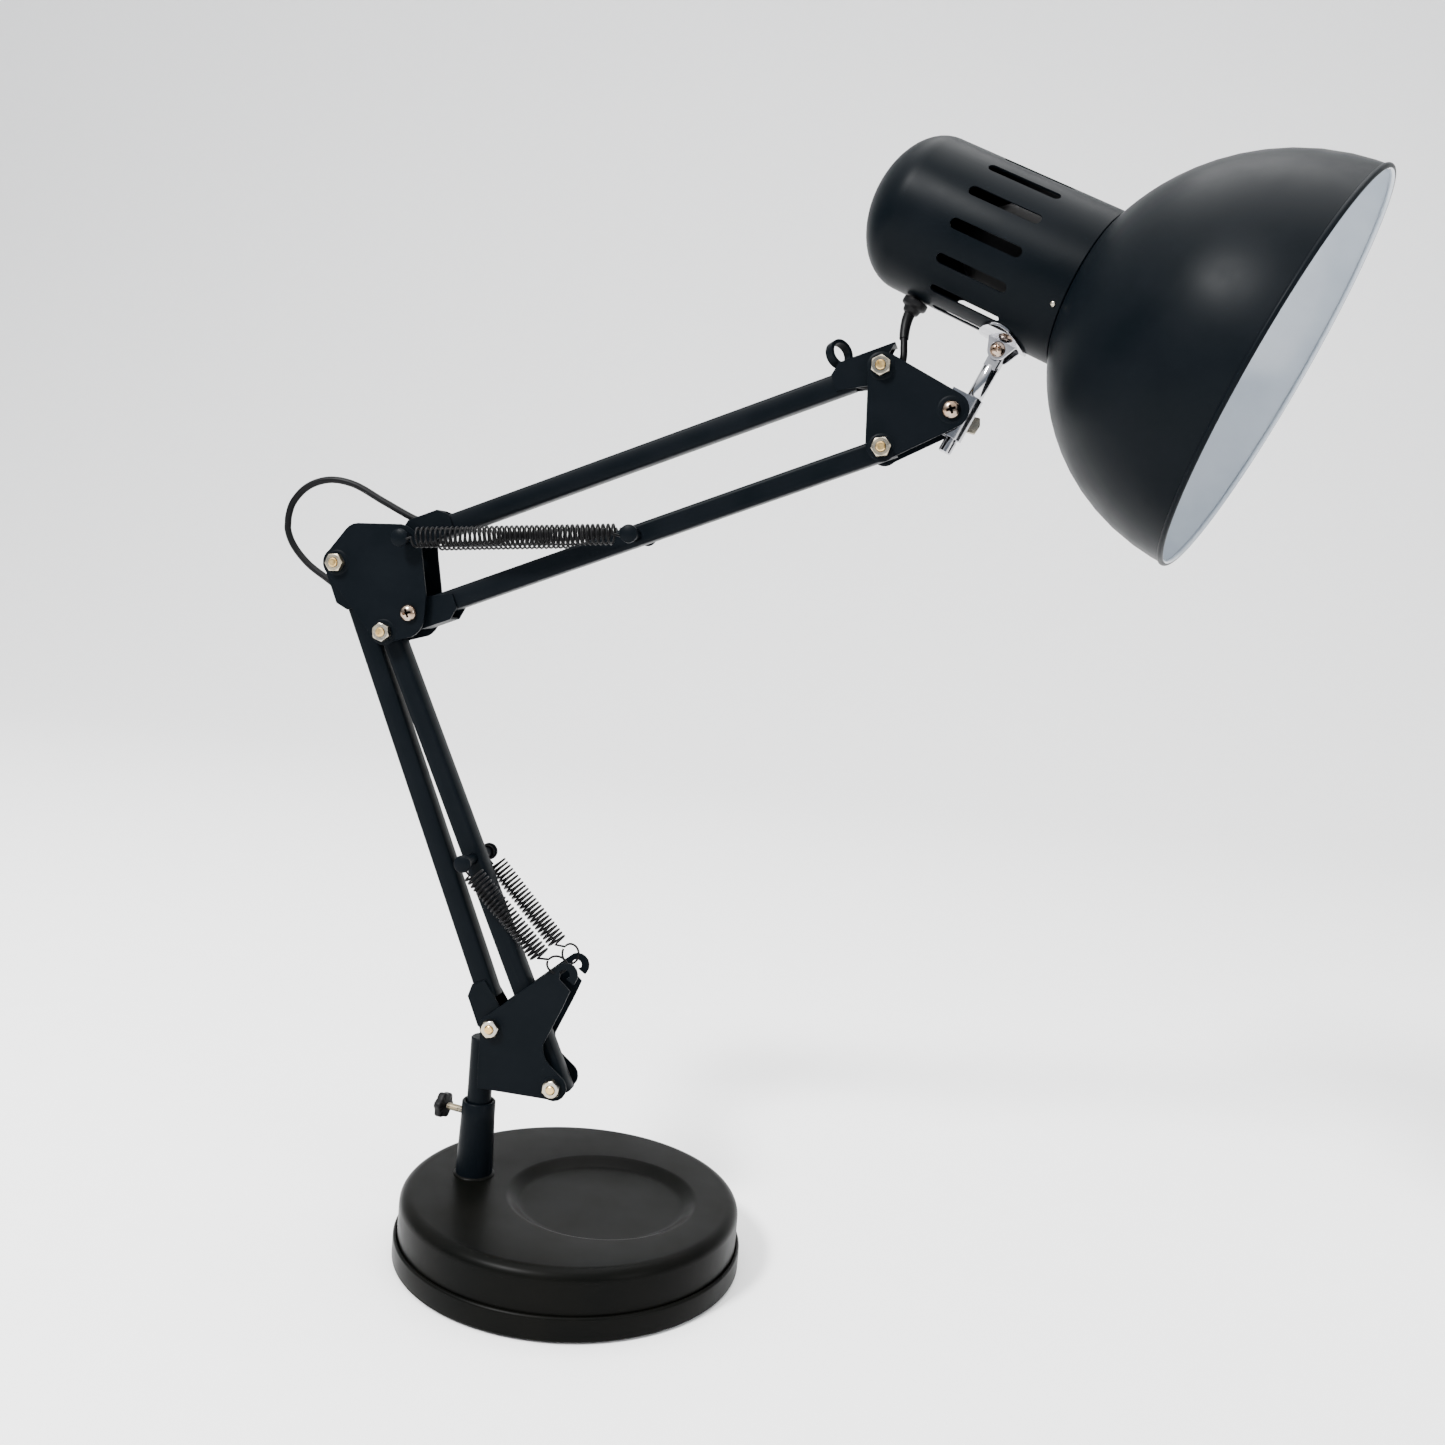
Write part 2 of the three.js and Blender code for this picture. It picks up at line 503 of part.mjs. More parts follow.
// Turns a profile of [radius, position along the head's axis] about that axis.
function aboutAxis(profile, segments) {
  return turned(profile, segments).rotateY(Math.PI / 2);
}
function makeSleeve() {
  const { r, length, domeDepth, wall } = SLEEVE;
  const dome = (radius, depth) => {
    const quarter = arc([0, 0], 1, 0, 90, 6);
    quarter[quarter.length - 1][0] = 0;
    return quarter.map(([c, s]) => [radius * c, -length + domeDepth - depth * s]);
  };
  const inside = dome(r - wall, domeDepth - wall);
  const profile = [...dome(r, domeDepth).reverse(), [r, -GAP], [r - wall, -GAP], ...inside];
  const tools = Array.from({ length: SLOTS.count }, (_, i) => {
    const half = SLOTS.width / 2;
    const front = arc([SLOTS.to - half, 0], half, -90, 90, 3);
    const slot = outline([...front, ...arc([SLOTS.from + half, 0], half, 90, 270, 3)]);
    const tool = new THREE.ExtrudeGeometry(slot, { depth: 6, bevelEnabled: false }).translate(0, 0, r - 4);
    const angle = 90 - (SLOTS.first + (i * 360) / SLOTS.count);
    return tool.rotateX((angle * Math.PI) / 180);
  });
  tools.push(rodZ(GLAND.at, 0, LEAD_R + GAP, LEAD_R + GAP, -r - 4, -r + 6, 12));
  add("socket_sleeve", cut(aboutAxis(profile, 44), ...tools), "black", headFrame);
}
function makeShade() {
  const { r, depth, semi, wall, beadR, backAt, holeR } = SHADE;
  const neck = SLEEVE.r - SLEEVE.wall - GAP;
  const stations = [0.2, 5, 14, 27, 43, 62, depth - 2];
  const dome = (x, inset) => (r - inset) * Math.sqrt(1 - ((depth - x) / (semi - inset)) ** 2);
  const outside = stations.map((x) => [dome(x, 0), x]);
  const inside = stations.slice(1).reverse().map((x) => [dome(x, wall), x]);
  const bead = arc([r - 0.4, depth - 0.6], beadR, -60, 230, 5);
  const seat = backAt + wall;
  const back = [
    [neck - wall, 1.2], [neck - wall, seat], [holeR, seat], [holeR, backAt], [neck, backAt], [neck, 0.2],
  ];
  add("shade", aboutAxis([...outside, ...bead, ...inside, ...back, outside[0]], 44), "black", headFrame);
}
function makeLampholder() {
  const { r, boreR, back, front, ringR, ringT, floor } = HOLDER;
  const body = [
    [0, back], [12, back], [14, back + 3], [r, back + 12],
    [r, front], [boreR, front], [boreR, floor], [0, floor],
  ];
  add("lampholder", aboutAxis(body, 32), "blackPlastic", headFrame);
  const seat = SHADE.backAt + SHADE.wall + GAP;
  const ring = [
    [r + GAP, seat], [ringR, seat], [ringR, seat + 1.4], [r + 2.2, seat + ringT], [r + GAP, seat + ringT],
  ];
  add("shade_ring", aboutAxis([...ring, ring[0]], 32), "blackPlastic", headFrame);
}
function makeSaddlePlate() {
  const { at, halfX, halfY, thick } = SADDLE;
  const inner = SLEEVE.r + GAP;
  const [outer, from, to] = [inner + thick, at - halfX - 1, at + halfX + 1];
  const ring = [[inner, from], [outer, from], [outer, to], [inner, to]];
  const leaf = outline(arc([0, 0], 1, 0, 345, 23).map(([c, s]) => [at + halfX * c, halfY * s]));
  const stamp = new THREE.ExtrudeGeometry(leaf, { depth: 30, bevelEnabled: false });
  stamp.translate(0, 0, -inner - 10);
  const plate = solidOf(aboutAxis([...ring, ring[0]], 64)).intersect(solidOf(stamp));
  const z = -SLEEVE.r - HINGE.below;
  const { earIn, earOut } = HINGE;
  const root = -inner - 0.2;
  const ear = outline([[HINGE.at + 7, root], [HINGE.at - 7, root], ...arc([HINGE.at, z], 4.6, 205, 335, 8)]);
  const window = box(HINGE.at - 7, HINGE.at + 7, -earIn, earIn, z - 2, -inner + 1);
  const hole = rodY([HINGE.at, z], HINGE.pinR + GAP, -earOut - 1, earOut + 1);
  const ears = [slab(ear, -earOut, -earIn), slab(ear, earIn, earOut)];
  const joined = cut(union(geometryOf(plate), ...ears), window, hole);
  const surface = aboutAxis([[0, -60], [inner, -60], [inner, 0], [0, 0]], 64);
  add("saddle_plate", cut(joined, surface), "chrome", headFrame);

  const near = -earOut - GAP;
  const { headR } = HINGE;
  const dome = turned([[0, 0], [headR, 0], [headR - 0.2, 1], [headR - 1.4, 1.9], [0, 2.3]], 16);
  dome.rotateX(Math.PI / 2).translate(HINGE.at, near, z);
  const nut = rodY([HINGE.at, z], headR, earOut + GAP, earOut + GAP + 2.6, 6);
  const screw = union(rodY([HINGE.at, z], HINGE.pinR, near - 0.5, earOut + 4), dome, nut);
  add("saddle_screw", screw, "zinc", headFrame);
}
function makeGland() {
  const bore = LEAD_R + GAP;
  const top = -SLEEVE.r - 2 * GAP;
  const { r, height, at } = GLAND;
  const foot = top - height;
  const profile = [[bore, foot], [3.6, foot], [4.4, foot + 2.6], [r, foot + 2.6]];
  profile.push([r, top], [bore, top], [bore, top - height]);
  add("cord_gland", turned(profile, 20).translate(at, 0, 0), "blackPlastic", headFrame);
}

// ---------------------------------------------------------------- mains lead
// Points given along a bar and off it, in the arm's plane.
function besideBar(pivot, towards, points) {
  const length = Math.hypot(towards[0] - pivot[0], towards[1] - pivot[1]);
  const [ux, uz] = [(towards[0] - pivot[0]) / length, (towards[1] - pivot[1]) / length];
  return points.map(([a, p]) => [pivot[0] + a * ux - p * uz, 0, pivot[1] + a * uz + p * ux]);
}
const headLeadLower = [
  ...besideBar(UPPER_WRIST, UPPER_KNEE, [
    [24, 0.3], [19, 0.6], [14, 1.8], [8.5, 4.4], [3, 5.9], [-2.2, 5.2],
  ]),
  [121.5, 1.2, 437.6], [123.2, 3.0, 443.6],
];
const headLeadUpper = [[123.2, 3.3, 444.5], [122.8, 5.0, 449.6], [122.3, 7.0, 455.2], [122.6, 8.7, 460.8]];
const elbowLeadUpper = [
  ...besideBar(UPPER_KNEE, UPPER_WRIST, [
    [24, -0.3], [18, -0.8], [13.5, 0.6], [9.5, 3.6], [5.7, 7.2], [1.9, 10.5],
  ]),
  [-121.2, 0, 361.5], [-137.8, 0, 368.8], [-150.6, 0, 369.9], [-161.7, 0, 365.7], [-168.9, 0, 357.6],
  [-170.9, 0, 350.6], [-171, 0, 347.7],
];
const elbowLeadLower = [
  [-171, 0, 347.3], [-170.9, 0, 344.4], [-167.9, 0, 337.5], [-159.4, 0, 328.5], [-147.6, 0, 321.2],
  ...besideBar(REAR_KNEE, REAR_FOOT, [[8.9, -8.6], [12.5, -5.9], [16.5, -3], [21, -0.9], [26, 0]]),
];
const tailUpper = [
  ...besideBar(REAR_FOOT, REAR_KNEE, [[26, 0], [19, 0.4], [14.5, 1.3], [10.5, 3], [6, 4.7]]),
  [-49.6, 0.3, 111.4], [-50.4, 2.8, 107.6], [-51.9, 7, 105], [-53, 10.8, 101.6], [-53.9, 13, 96],
  [-54.5, 13.8, 90.4],
];
const tailLower = [
  [-54.5, 13.8, 90], [-55, 14, 80], [-55.3, 14, 68], [-55.5, 14, 56], [-55.7, 14.1, 48.5],
  [-56.2, 15.8, 41.4], [-57.8, 20.8, 36.6], [-60.2, 27.6, 34.8], [-62.5, 34, 34.6],
];
const tableLead = [
  [-62.6, 34.3, 34.6], [-66.4, 45, 34.2], [-69.4, 53.5, 28.5], [-71.3, 59.5, 18], [-72.7, 64.5, 8.5],
  [-73.7, 70, 3.2], [-74, 76, 1.8], [-72.6, 83, 1.8], [-68.6, 89.6, 1.8], [-65.2, 95.4, 1.8],
  [-63.8, 101.6, 1.8],
];
function makeLead() {
  const lead = (name, points, steps) => add(name, tube(points, LEAD_R, steps), "blackPlastic");
  const inGland = [42, 36, 30, 22].map((z) => inHead(GLAND.at, 0, -z).toArray());
  lead("head_lead_lower", headLeadLower, 9);
  lead("head_lead_upper", [...headLeadUpper, ...inGland], 8);
  const run = (from, to) => {
    const length = Math.hypot(to[0] - from[0], to[1] - from[1]);
    return besideBar(from, to, [[24.4, -0.3], [length / 2, -0.3], [length - 24.4, -0.3]]);
  };
  lead("top_bar_lead", run(UPPER_KNEE, UPPER_WRIST), 1);
  lead("elbow_lead_upper", elbowLeadUpper, 18);
  lead("elbow_lead_lower", elbowLeadLower, 14);
  const rear = Math.hypot(REAR_KNEE[0] - REAR_FOOT[0], REAR_KNEE[1] - REAR_FOOT[1]);
  lead("rear_bar_lead", besideBar(REAR_FOOT, REAR_KNEE, [[26.4, 0], [rear / 2, 0], [rear - 26.4, 0]]), 1);
  lead("tail_lead_upper", tailUpper, 11);
  lead("tail_lead_lower", tailLower, 10);
  lead("table_lead", tableLead, 13);

  const { x, y, meanR, width, height } = COIL;
  const [innerR, outerR] = [meanR - width / 2, meanR + width / 2];
  const ring = [[innerR, 0.1], [outerR, 0.1], [outerR, height], [innerR, height]];
  add("lead_coil", turnedLoop(ring, 32).translate(x, y, 0), "blackPlastic");
}
function makePlug() {
  const { tip, heading, strain, length, width, thick, blade } = PLUG;
  const z = thick / 2 + 0.1;
  const relief = rodBetween([0, 0, z], [strain + 1, 0, z], 3.1, 12);
  const half = width / 2;
  const face = [[0, -4], [6, -half], [length, -half], [length, half], [6, half], [0, 4]];
  const shape = new THREE.Shape(face.map(([a, b]) => new THREE.Vector2(a, b)));
  const body = new THREE.ExtrudeGeometry(shape, { depth: thick, bevelEnabled: false });
  body.translate(strain, 0, 0.1);
  const spacing = 6.35;
  const blades = [-spacing, spacing].map((y) => {
    const from = strain + length - 1;
    return box(from, from + 1 + blade, y - 0.75, y + 0.75, z - 3.1, z + 3.1);
  });
  const plug = union(relief, body, ...blades);
  plug.rotateZ((heading * Math.PI) / 180).translate(tip[0], tip[1], 0);
  add("mains_plug", plug, "blackPlastic");
}

makeBase();
makePost();
makePlates("lower_bracket", lowerPlate, [[REAR_FOOT, HOLE_R], [FRONT_FOOT, HOLE_R]]);
makePlates("middle_bracket", middlePlate, [
  [REAR_KNEE, HOLE_R], [FRONT_KNEE, HOLE_R], [LOWER_KNEE, HOLE_R], [UPPER_KNEE, PIN.r + GAP],
]);
makePlates("head_bracket", headPlate, [[UPPER_WRIST, HOLE_R], [LOWER_WRIST, HOLE_R], [CLAMP, HOLE_R]]);
add("rear_foot_bolt", bolt(REAR_FOOT), "zinc");
add("front_foot_bolt", bolt(FRONT_FOOT), "zinc");
add("rear_knee_bolt", bolt(REAR_KNEE), "zinc");
add("front_knee_bolt", bolt(FRONT_KNEE), "zinc");
add("lower_knee_screw", panScrew(LOWER_KNEE, 14), "zinc");
add("upper_knee_pin", springPin(UPPER_KNEE), "black");
add("upper_wrist_bolt", bolt(UPPER_WRIST), "zinc");
add("lower_wrist_bolt", bolt(LOWER_WRIST), "zinc");
makeRearBar();
makeFrontBar();
makeTopBar();
makeLowerBar();
makeSprings();
makeKnuckle();
makeClampScrew();
makeSleeve();
makeShade();
makeLampholder();
makeSaddlePlate();
makeGland();
makeLead();
makePlug();

export default lamp;
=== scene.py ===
"""Looks of the swing arm desk lamp. Blender works in metres; the shapes below are drawn in millimetres."""

import math

import bmesh
import bpy
from mathutils import Matrix, Vector


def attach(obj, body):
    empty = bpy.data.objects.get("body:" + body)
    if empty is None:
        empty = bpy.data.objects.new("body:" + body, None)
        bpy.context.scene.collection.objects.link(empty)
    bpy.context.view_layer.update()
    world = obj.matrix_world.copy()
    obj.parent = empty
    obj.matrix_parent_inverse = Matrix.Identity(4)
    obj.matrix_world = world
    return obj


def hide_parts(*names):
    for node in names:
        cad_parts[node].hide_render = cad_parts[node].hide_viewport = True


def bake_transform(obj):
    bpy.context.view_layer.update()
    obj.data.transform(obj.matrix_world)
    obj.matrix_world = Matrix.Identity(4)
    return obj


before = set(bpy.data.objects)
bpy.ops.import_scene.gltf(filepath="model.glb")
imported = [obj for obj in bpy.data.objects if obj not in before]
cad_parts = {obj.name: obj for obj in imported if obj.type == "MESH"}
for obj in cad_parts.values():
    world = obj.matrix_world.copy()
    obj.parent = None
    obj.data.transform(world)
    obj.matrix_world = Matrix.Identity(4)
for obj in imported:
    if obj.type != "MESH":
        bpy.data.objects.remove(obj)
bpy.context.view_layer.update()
MM = 0.001

# ---------------------------------------------------------------- dimensions, as in the CAD part
REAR_FOOT, FRONT_FOOT = (-43.6, 111.8), (-10.6, 86.5)
REAR_KNEE, FRONT_KNEE = (-138.8, 330.1), (-112.5, 298.8)
LOWER_KNEE, UPPER_KNEE = (-100.2, 309.0), (-103.7, 344.5)
LOWER_WRIST, UPPER_WRIST = (118.4, 402.3), (114.9, 437.8)
CLAMP = (147.4, 420.7)
SPRING_HOOK = (-9.0, 142.6)
SPRING_PIN_AT = 117.3
PLATE_OUT, GAP = 10.4, 0.3
BASE_TOP, BODY_R, DISH_X = 32.4, 83.0, 15.6
POST_X, POST_TOP = -51.1, 70.4
THUMB_AZIMUTH, THUMB_Z = math.radians(168), 63.3
ROD_TILT, HEAD_SWIVEL, HEAD_NOSE = math.radians(66.2), math.radians(-12), math.radians(0.7)
SEAM = Vector((202, -5.1, 475.1))
SLEEVE_R, SLEEVE_LEN, DOME_DEPTH, SLEEVE_WALL = 34.8, 108.0, 24.0, 0.9
SHADE_R, SHADE_DEPTH, SHADE_SEMI = 87.2, 86.0, 93.7
HINGE_AT, HINGE_BELOW = -22.4, 4.8
GLAND_AT = -68.6
LEAD_R = 1.7
TABLE_LEAD_Z = 1.8
COIL, COIL_MEAN_R = Vector((-34.6, 104.1, 0)), 18.5
PLUG_TIP, PLUG_HEADING, BLADE_SPACING = Vector((-10.2, 109.65, 6.6)), math.radians(-22), 6.35


def flat(p, y=0.0):
    """A point of the arm's plane, as a vector."""
    return Vector((p[0], y, p[1]))


# Frames are (origin, axis, side one, side two), right-handed.
WORLD_UP = (Vector(), Vector((0, 0, 1)), Vector((1, 0, 0)), Vector((0, 1, 0)))
ROD_AXIS = Vector((math.cos(ROD_TILT), 0, math.sin(ROD_TILT)))
HEAD_Y = Matrix.Rotation(HEAD_SWIVEL, 3, ROD_AXIS) @ Vector((0, 1, 0))
HEAD_X = Matrix.Rotation(HEAD_NOSE, 3, HEAD_Y) @ HEAD_Y.cross(ROD_AXIS).normalized()
HEAD_Z = HEAD_X.cross(HEAD_Y)
HEAD = (SEAM, HEAD_X, HEAD_Y, HEAD_Z)


def in_head(x, y, z):
    return SEAM + HEAD_X * x + HEAD_Y * y + HEAD_Z * z


HINGE = in_head(HINGE_AT, 0, -SLEEVE_R - HINGE_BELOW)
ROD_FOOT = HINGE - ROD_AXIS * (HINGE - flat(CLAMP)).dot(ROD_AXIS)
ROD = (ROD_FOOT, ROD_AXIS, HEAD_Y, ROD_AXIS.cross(HEAD_Y))
ROD_LENGTH = (HINGE - ROD_FOOT).length


def along_y(at, y=0.0, out=-1):
    """A frame on the arm's plane whose axis points to the near side (-1) or the far side (+1)."""
    return (flat(at, y), Vector((0, out, 0)), Vector((1, 0, 0)), Vector((0, 0, -out)))


def spun(at, axis):
    """A frame at a point along any axis."""
    side = axis.orthogonal().normalized()
    return (Vector(at), axis.normalized(), side, axis.normalized().cross(side))


# ---------------------------------------------------------------- camera
def make_camera():
    right = (0.9778, 0.1913, 0.0858)
    down = (0.1029, -0.0814, -0.9914)
    ahead = (-0.1827, 0.9782, -0.0993)
    data = bpy.data.cameras.new("camera")
    data.lens, data.sensor_width = 34.858, 36
    data.clip_start, data.clip_end = 0.01, 50
    camera = bpy.data.objects.new("camera", data)
    turn = Matrix((right, [-v for v in down], [-v for v in ahead])).transposed()
    camera.matrix_world = Matrix.Translation((0.1757, -0.6439, 0.3366)) @ turn.to_4x4()
    bpy.context.scene.collection.objects.link(camera)
    bpy.context.scene.camera = camera


make_camera()


# ---------------------------------------------------------------- mesh tools
def loft(rings, closed=False, cap_start=False, cap_end=False):
    """Joins rings of equally many points, in order, with quads."""
    n = len(rings[0])
    verts = [p for ring in rings for p in ring]
    pairs = [(i, i + 1) for i in range(len(rings) - 1)]
    if closed:
        pairs.append((len(rings) - 1, 0))
    faces = []
    for a, b in pairs:
        faces += [(a * n + i, a * n + (i + 1) % n, b * n + (i + 1) % n, b * n + i) for i in range(n)]
    if cap_start:
        faces.append(tuple(range(n)))
    if cap_end:
        faces.append(tuple(range(len(verts) - n, len(verts))))
    return verts, faces


def circle(place, r, h, n, radius=None):
    """A ring of points at height h of a frame. radius(angle) can vary it."""
    origin, axis, one, two = place
    points = []
    for i in range(n):
        a = 2 * math.pi * i / n
        q = radius(a) if radius else r
        points.append(origin + axis * h + (one * math.cos(a) + two * math.sin(a)) * q)
    return points


def merged(*parts):
    """Several (verts, faces) as one."""
    verts, faces = [], []
    for v, f in parts:
        faces += [tuple(i + len(verts) for i in face) for face in f]
        verts += v
    return verts, faces


def piece(name, parts, look, body, replaces=(), inner=None, angle=38, second=None):
    """Makes an object from (verts, faces) in millimetres. inner(centre) picks faces for the second look."""
    verts, faces = parts
    bm = bmesh.new()
    made = [bm.verts.new(Vector(v) * MM) for v in verts]
    for face in faces:
        if len(set(face)) > 2:
            bm.faces.new([made[i] for i in dict.fromkeys(face)])
    bmesh.ops.remove_doubles(bm, verts=bm.verts, dist=1e-6)
    bmesh.ops.dissolve_degenerate(bm, edges=bm.edges, dist=1e-7)
    bmesh.ops.recalc_face_normals(bm, faces=bm.faces)
    mesh = bpy.data.meshes.new(name)
    bm.to_mesh(mesh)
    bm.free()
    mesh.materials.append(look)
    if second:
        mesh.materials.append(second)
        for polygon in mesh.polygons:
            polygon.material_index = int(inner(polygon.center / MM, polygon.normal))
    return finished(name, mesh, body, replaces, angle)


def finished(name, mesh, body, replaces, angle=38):
    mesh.shade_smooth()
    mesh.set_sharp_from_angle(angle=math.radians(angle))
    obj = bpy.data.objects.new(name, mesh)
    bpy.context.scene.collection.objects.link(obj)
    if body:
        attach(obj, body)
    if replaces:
        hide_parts(*replaces)
    return obj


def lathe(place, profile, n=64, closed=True):
    """Turns a profile of (radius, height) about a frame's axis."""
    return loft([circle(place, r, h, n) for r, h in profile], closed=closed)


def softened(profile, size, steps=3):
    """Rounds the corners of a closed profile of (radius, height) points."""
    points = []
    count = len(profile)
    for i, (r, h) in enumerate(profile):
        here = Vector((r, h))
        before, after = Vector(profile[i - 1]) - here, Vector(profile[(i + 1) % count]) - here
        if r < 1e-6 or before.length < 1e-6 or after.length < 1e-6:
            points.append((r, h))
            continue
        cut = min(size, before.length * 0.45, after.length * 0.45)
        a, b = here + before.normalized() * cut, here + after.normalized() * cut
        for k in range(steps + 1):
            t = k / steps
            p = a * (1 - t) ** 2 + here * 2 * t * (1 - t) + b * t * t
            points.append((max(p.x, 0), p.y))
    return points


def spline(points, per=8):
    """A smooth centripetal curve through points."""
    pts = [Vector(p) for p in points]
    pts = [pts[0] * 2 - pts[1]] + pts + [pts[-1] * 2 - pts[-2]]
    out = [pts[1].copy()]
    for i in range(1, len(pts) - 2):
        p = pts[i - 1 : i + 3]
        t = [0.0]
        for a, b in zip(p, p[1:]):
            t.append(t[-1] + max((b - a).length, 1e-6) ** 0.5)
        for k in range(1, per + 1):
            u = t[1] + (t[2] - t[1]) * k / per
            a = [p[j].lerp(p[j + 1], (u - t[j]) / (t[j + 1] - t[j])) for j in range(3)]
            b = [a[j].lerp(a[j + 1], (u - t[j]) / (t[j + 2] - t[j])) for j in range(2)]
            out.append(b[0].lerp(b[1], (u - t[1]) / (t[2] - t[1])))
    return out


def tube(path, r, sides=10, radii=None):
    """A round tube along a path, its frame carried along without twist."""
    rings, side = [], None
    for i, p in enumerate(path):
        ahead = (path[min(i + 1, len(path) - 1)] - path[max(i - 1, 0)]).normalized()
        side = ahead.orthogonal() if side is None else side - ahead * side.dot(ahead)
        side.normalize()
        place = (p, ahead, side.copy(), ahead.cross(side))
        rings.append(circle(place, radii[i] if radii else r, 0, sides))
    return loft(rings, cap_start=True, cap_end=True)


def hexagon(across):
    return lambda a: across / 2 / math.cos((a % (math.pi / 3)) - math.pi / 6)


def nut(place, across, thick, hole, n=48):
    """A hexagon nut with chamfered corners, on the plane of its frame."""
    wide = hexagon(across)
    origin, axis, one, two = place

    def chamfered(from_top):
        points = []
        for i in range(n):
            a = 2 * math.pi * i / n
            drop = 0.1 + (wide(a) - across / 2) * 0.58
            h = thick - drop if from_top else drop
            points.append(origin + axis * h + (one * math.cos(a) + two * math.sin(a)) * wide(a))
        return points

    flat_r = across / 2 - 0.15
    rings = [circle(place, hole, 0, n), circle(place, flat_r, 0, n), chamfered(False), chamfered(True)]
    for r, h in ((flat_r, thick), (hole + 0.3, thick), (hole, thick - 0.3)):
        rings.append(circle(place, r, h, n))
    return loft(rings, closed=True)


def threaded(place, r, h0, h1, pitch=0.8, plain=0.0, n=24):
    """A bolt end: thread ridges from h0 to h1 and a rounded tip."""
    profile = [(0, h0), (r - 0.05, h0)]
    h = h0 + plain
    while h + pitch < h1 - 0.5:
        profile += [(r, h + 0.15), (r, h + 0.3), (r - 0.38, h + 0.52), (r - 0.38, h + 0.6)]
        h += pitch
    profile += [(r - 0.2, h + 0.1), (r - 0.25, h1 - 0.4), (r - 0.7, h1 - 0.05), (0, h1)]
    return lathe(place, profile, n, closed=False)


def cut_with(obj, tool_parts):
    """Subtracts closed solids from a mesh object."""
    tool = piece("cutting_tool", tool_parts, obj.data.materials[0], None)
    modifier = obj.modifiers.new("cut", "BOOLEAN")
    modifier.operation, modifier.object, modifier.solver = "DIFFERENCE", tool, "EXACT"
    graph = bpy.context.evaluated_depsgraph_get()
    mesh = bpy.data.meshes.new_from_object(obj.evaluated_get(graph))
    obj.modifiers.clear()
    old, obj.data = obj.data, mesh
    bpy.data.meshes.remove(old)
    bpy.data.objects.remove(tool)
    mesh.shade_smooth()
    mesh.set_sharp_from_angle(angle=math.radians(38))


def prism(outline, place, h0, h1):
    """An outline of (u, v) points in a frame's sides, extruded along its axis."""
    origin, axis, one, two = place
    ring = lambda h: [origin + axis * h + one * u + two * v for u, v in outline]
    return loft([ring(h0), ring(h1)], cap_start=True, cap_end=True)


def arc(centre, r, start, end, steps=8):
    angles = [math.radians(start + (end - start) * i / steps) for i in range(steps + 1)]
    return [(centre[0] + r * math.cos(a), centre[1] + r * math.sin(a)) for a in angles]


def fine(node, look, body, bevel=0.25, angle=55):
    """The CAD node's own shape with its edges rounded, as the part that shows."""
    bm = bmesh.new()
    bm.from_mesh(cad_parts[node].data)
    bmesh.ops.remove_doubles(bm, verts=bm.verts, dist=2e-6)
    bmesh.ops.dissolve_limit(bm, angle_limit=math.radians(1.5), verts=bm.verts, edges=bm.edges)
    bmesh.ops.recalc_face_normals(bm, faces=bm.faces)
    mesh = bpy.data.meshes.new(node + "_fine")
    bm.to_mesh(mesh)
    bm.free()
    mesh.materials.append(look)
    obj = finished(node + "_fine", mesh, body, [node], angle)
    rounded = obj.modifiers.new("edges", "BEVEL")
    rounded.width, rounded.segments, rounded.limit_method = bevel * MM, 2, "ANGLE"
    rounded.angle_limit = math.radians(angle)
    rounded.harden_normals = True
    return obj


# ---------------------------------------------------------------- materials
def surface(name, color, rough, metallic=0.0, tint=None, spread=0.05, blotch=45, grain=1400, bump=0.12,
            stretch=(1, 1, 1), coat=0.0, specular=0.5):
    """A surface whose colour, roughness and bump vary with soft noise in the object's own space."""
    material = bpy.data.materials.new(name)
    material.use_nodes = True
    nodes, links = material.node_tree.nodes, material.node_tree.links
    shader = nodes["Principled BSDF"]
    shader.inputs["Metallic"].default_value = metallic
    shader.inputs["Specular IOR Level"].default_value = specular
    shader.inputs["Coat Weight"].default_value = coat
    shader.inputs["Coat Roughness"].default_value = 0.12
    place = nodes.new("ShaderNodeTexCoord")
    mapping = nodes.new("ShaderNodeMapping")
    mapping.inputs["Scale"].default_value = stretch
    links.new(place.outputs["Object"], mapping.inputs["Vector"])

    def noise(scale, detail):
        node = nodes.new("ShaderNodeTexNoise")
        node.inputs["Scale"].default_value = scale
        node.inputs["Detail"].default_value = detail
        links.new(mapping.outputs["Vector"], node.inputs["Vector"])
        return node.outputs["Fac"]

    wide, small = noise(blotch, 4), noise(grain, 2)
    level = nodes.new("ShaderNodeMapRange")
    limits = {"From Min": 0.3, "From Max": 0.7, "To Min": rough - spread, "To Max": rough + spread}
    for socket, value in limits.items():
        level.inputs[socket].default_value = value
    links.new(wide, level.inputs["Value"])
    links.new(level.outputs["Result"], shader.inputs["Roughness"])
    ramp = nodes.new("ShaderNodeValToRGB")
    ramp.color_ramp.elements[0].position, ramp.color_ramp.elements[1].position = 0.32, 0.68
    ramp.color_ramp.elements[0].color = (*color, 1)
    ramp.color_ramp.elements[1].color = (*(tint or [c * 1.2 for c in color]), 1)
    links.new(wide, ramp.inputs["Fac"])
    links.new(ramp.outputs["Color"], shader.inputs["Base Color"])
    relief = nodes.new("ShaderNodeBump")
    relief.inputs["Strength"].default_value = bump
    relief.inputs["Distance"].default_value = 0.00004  # metres
    links.new(small, relief.inputs["Height"])
    links.new(relief.outputs["Normal"], shader.inputs["Normal"])
    return material


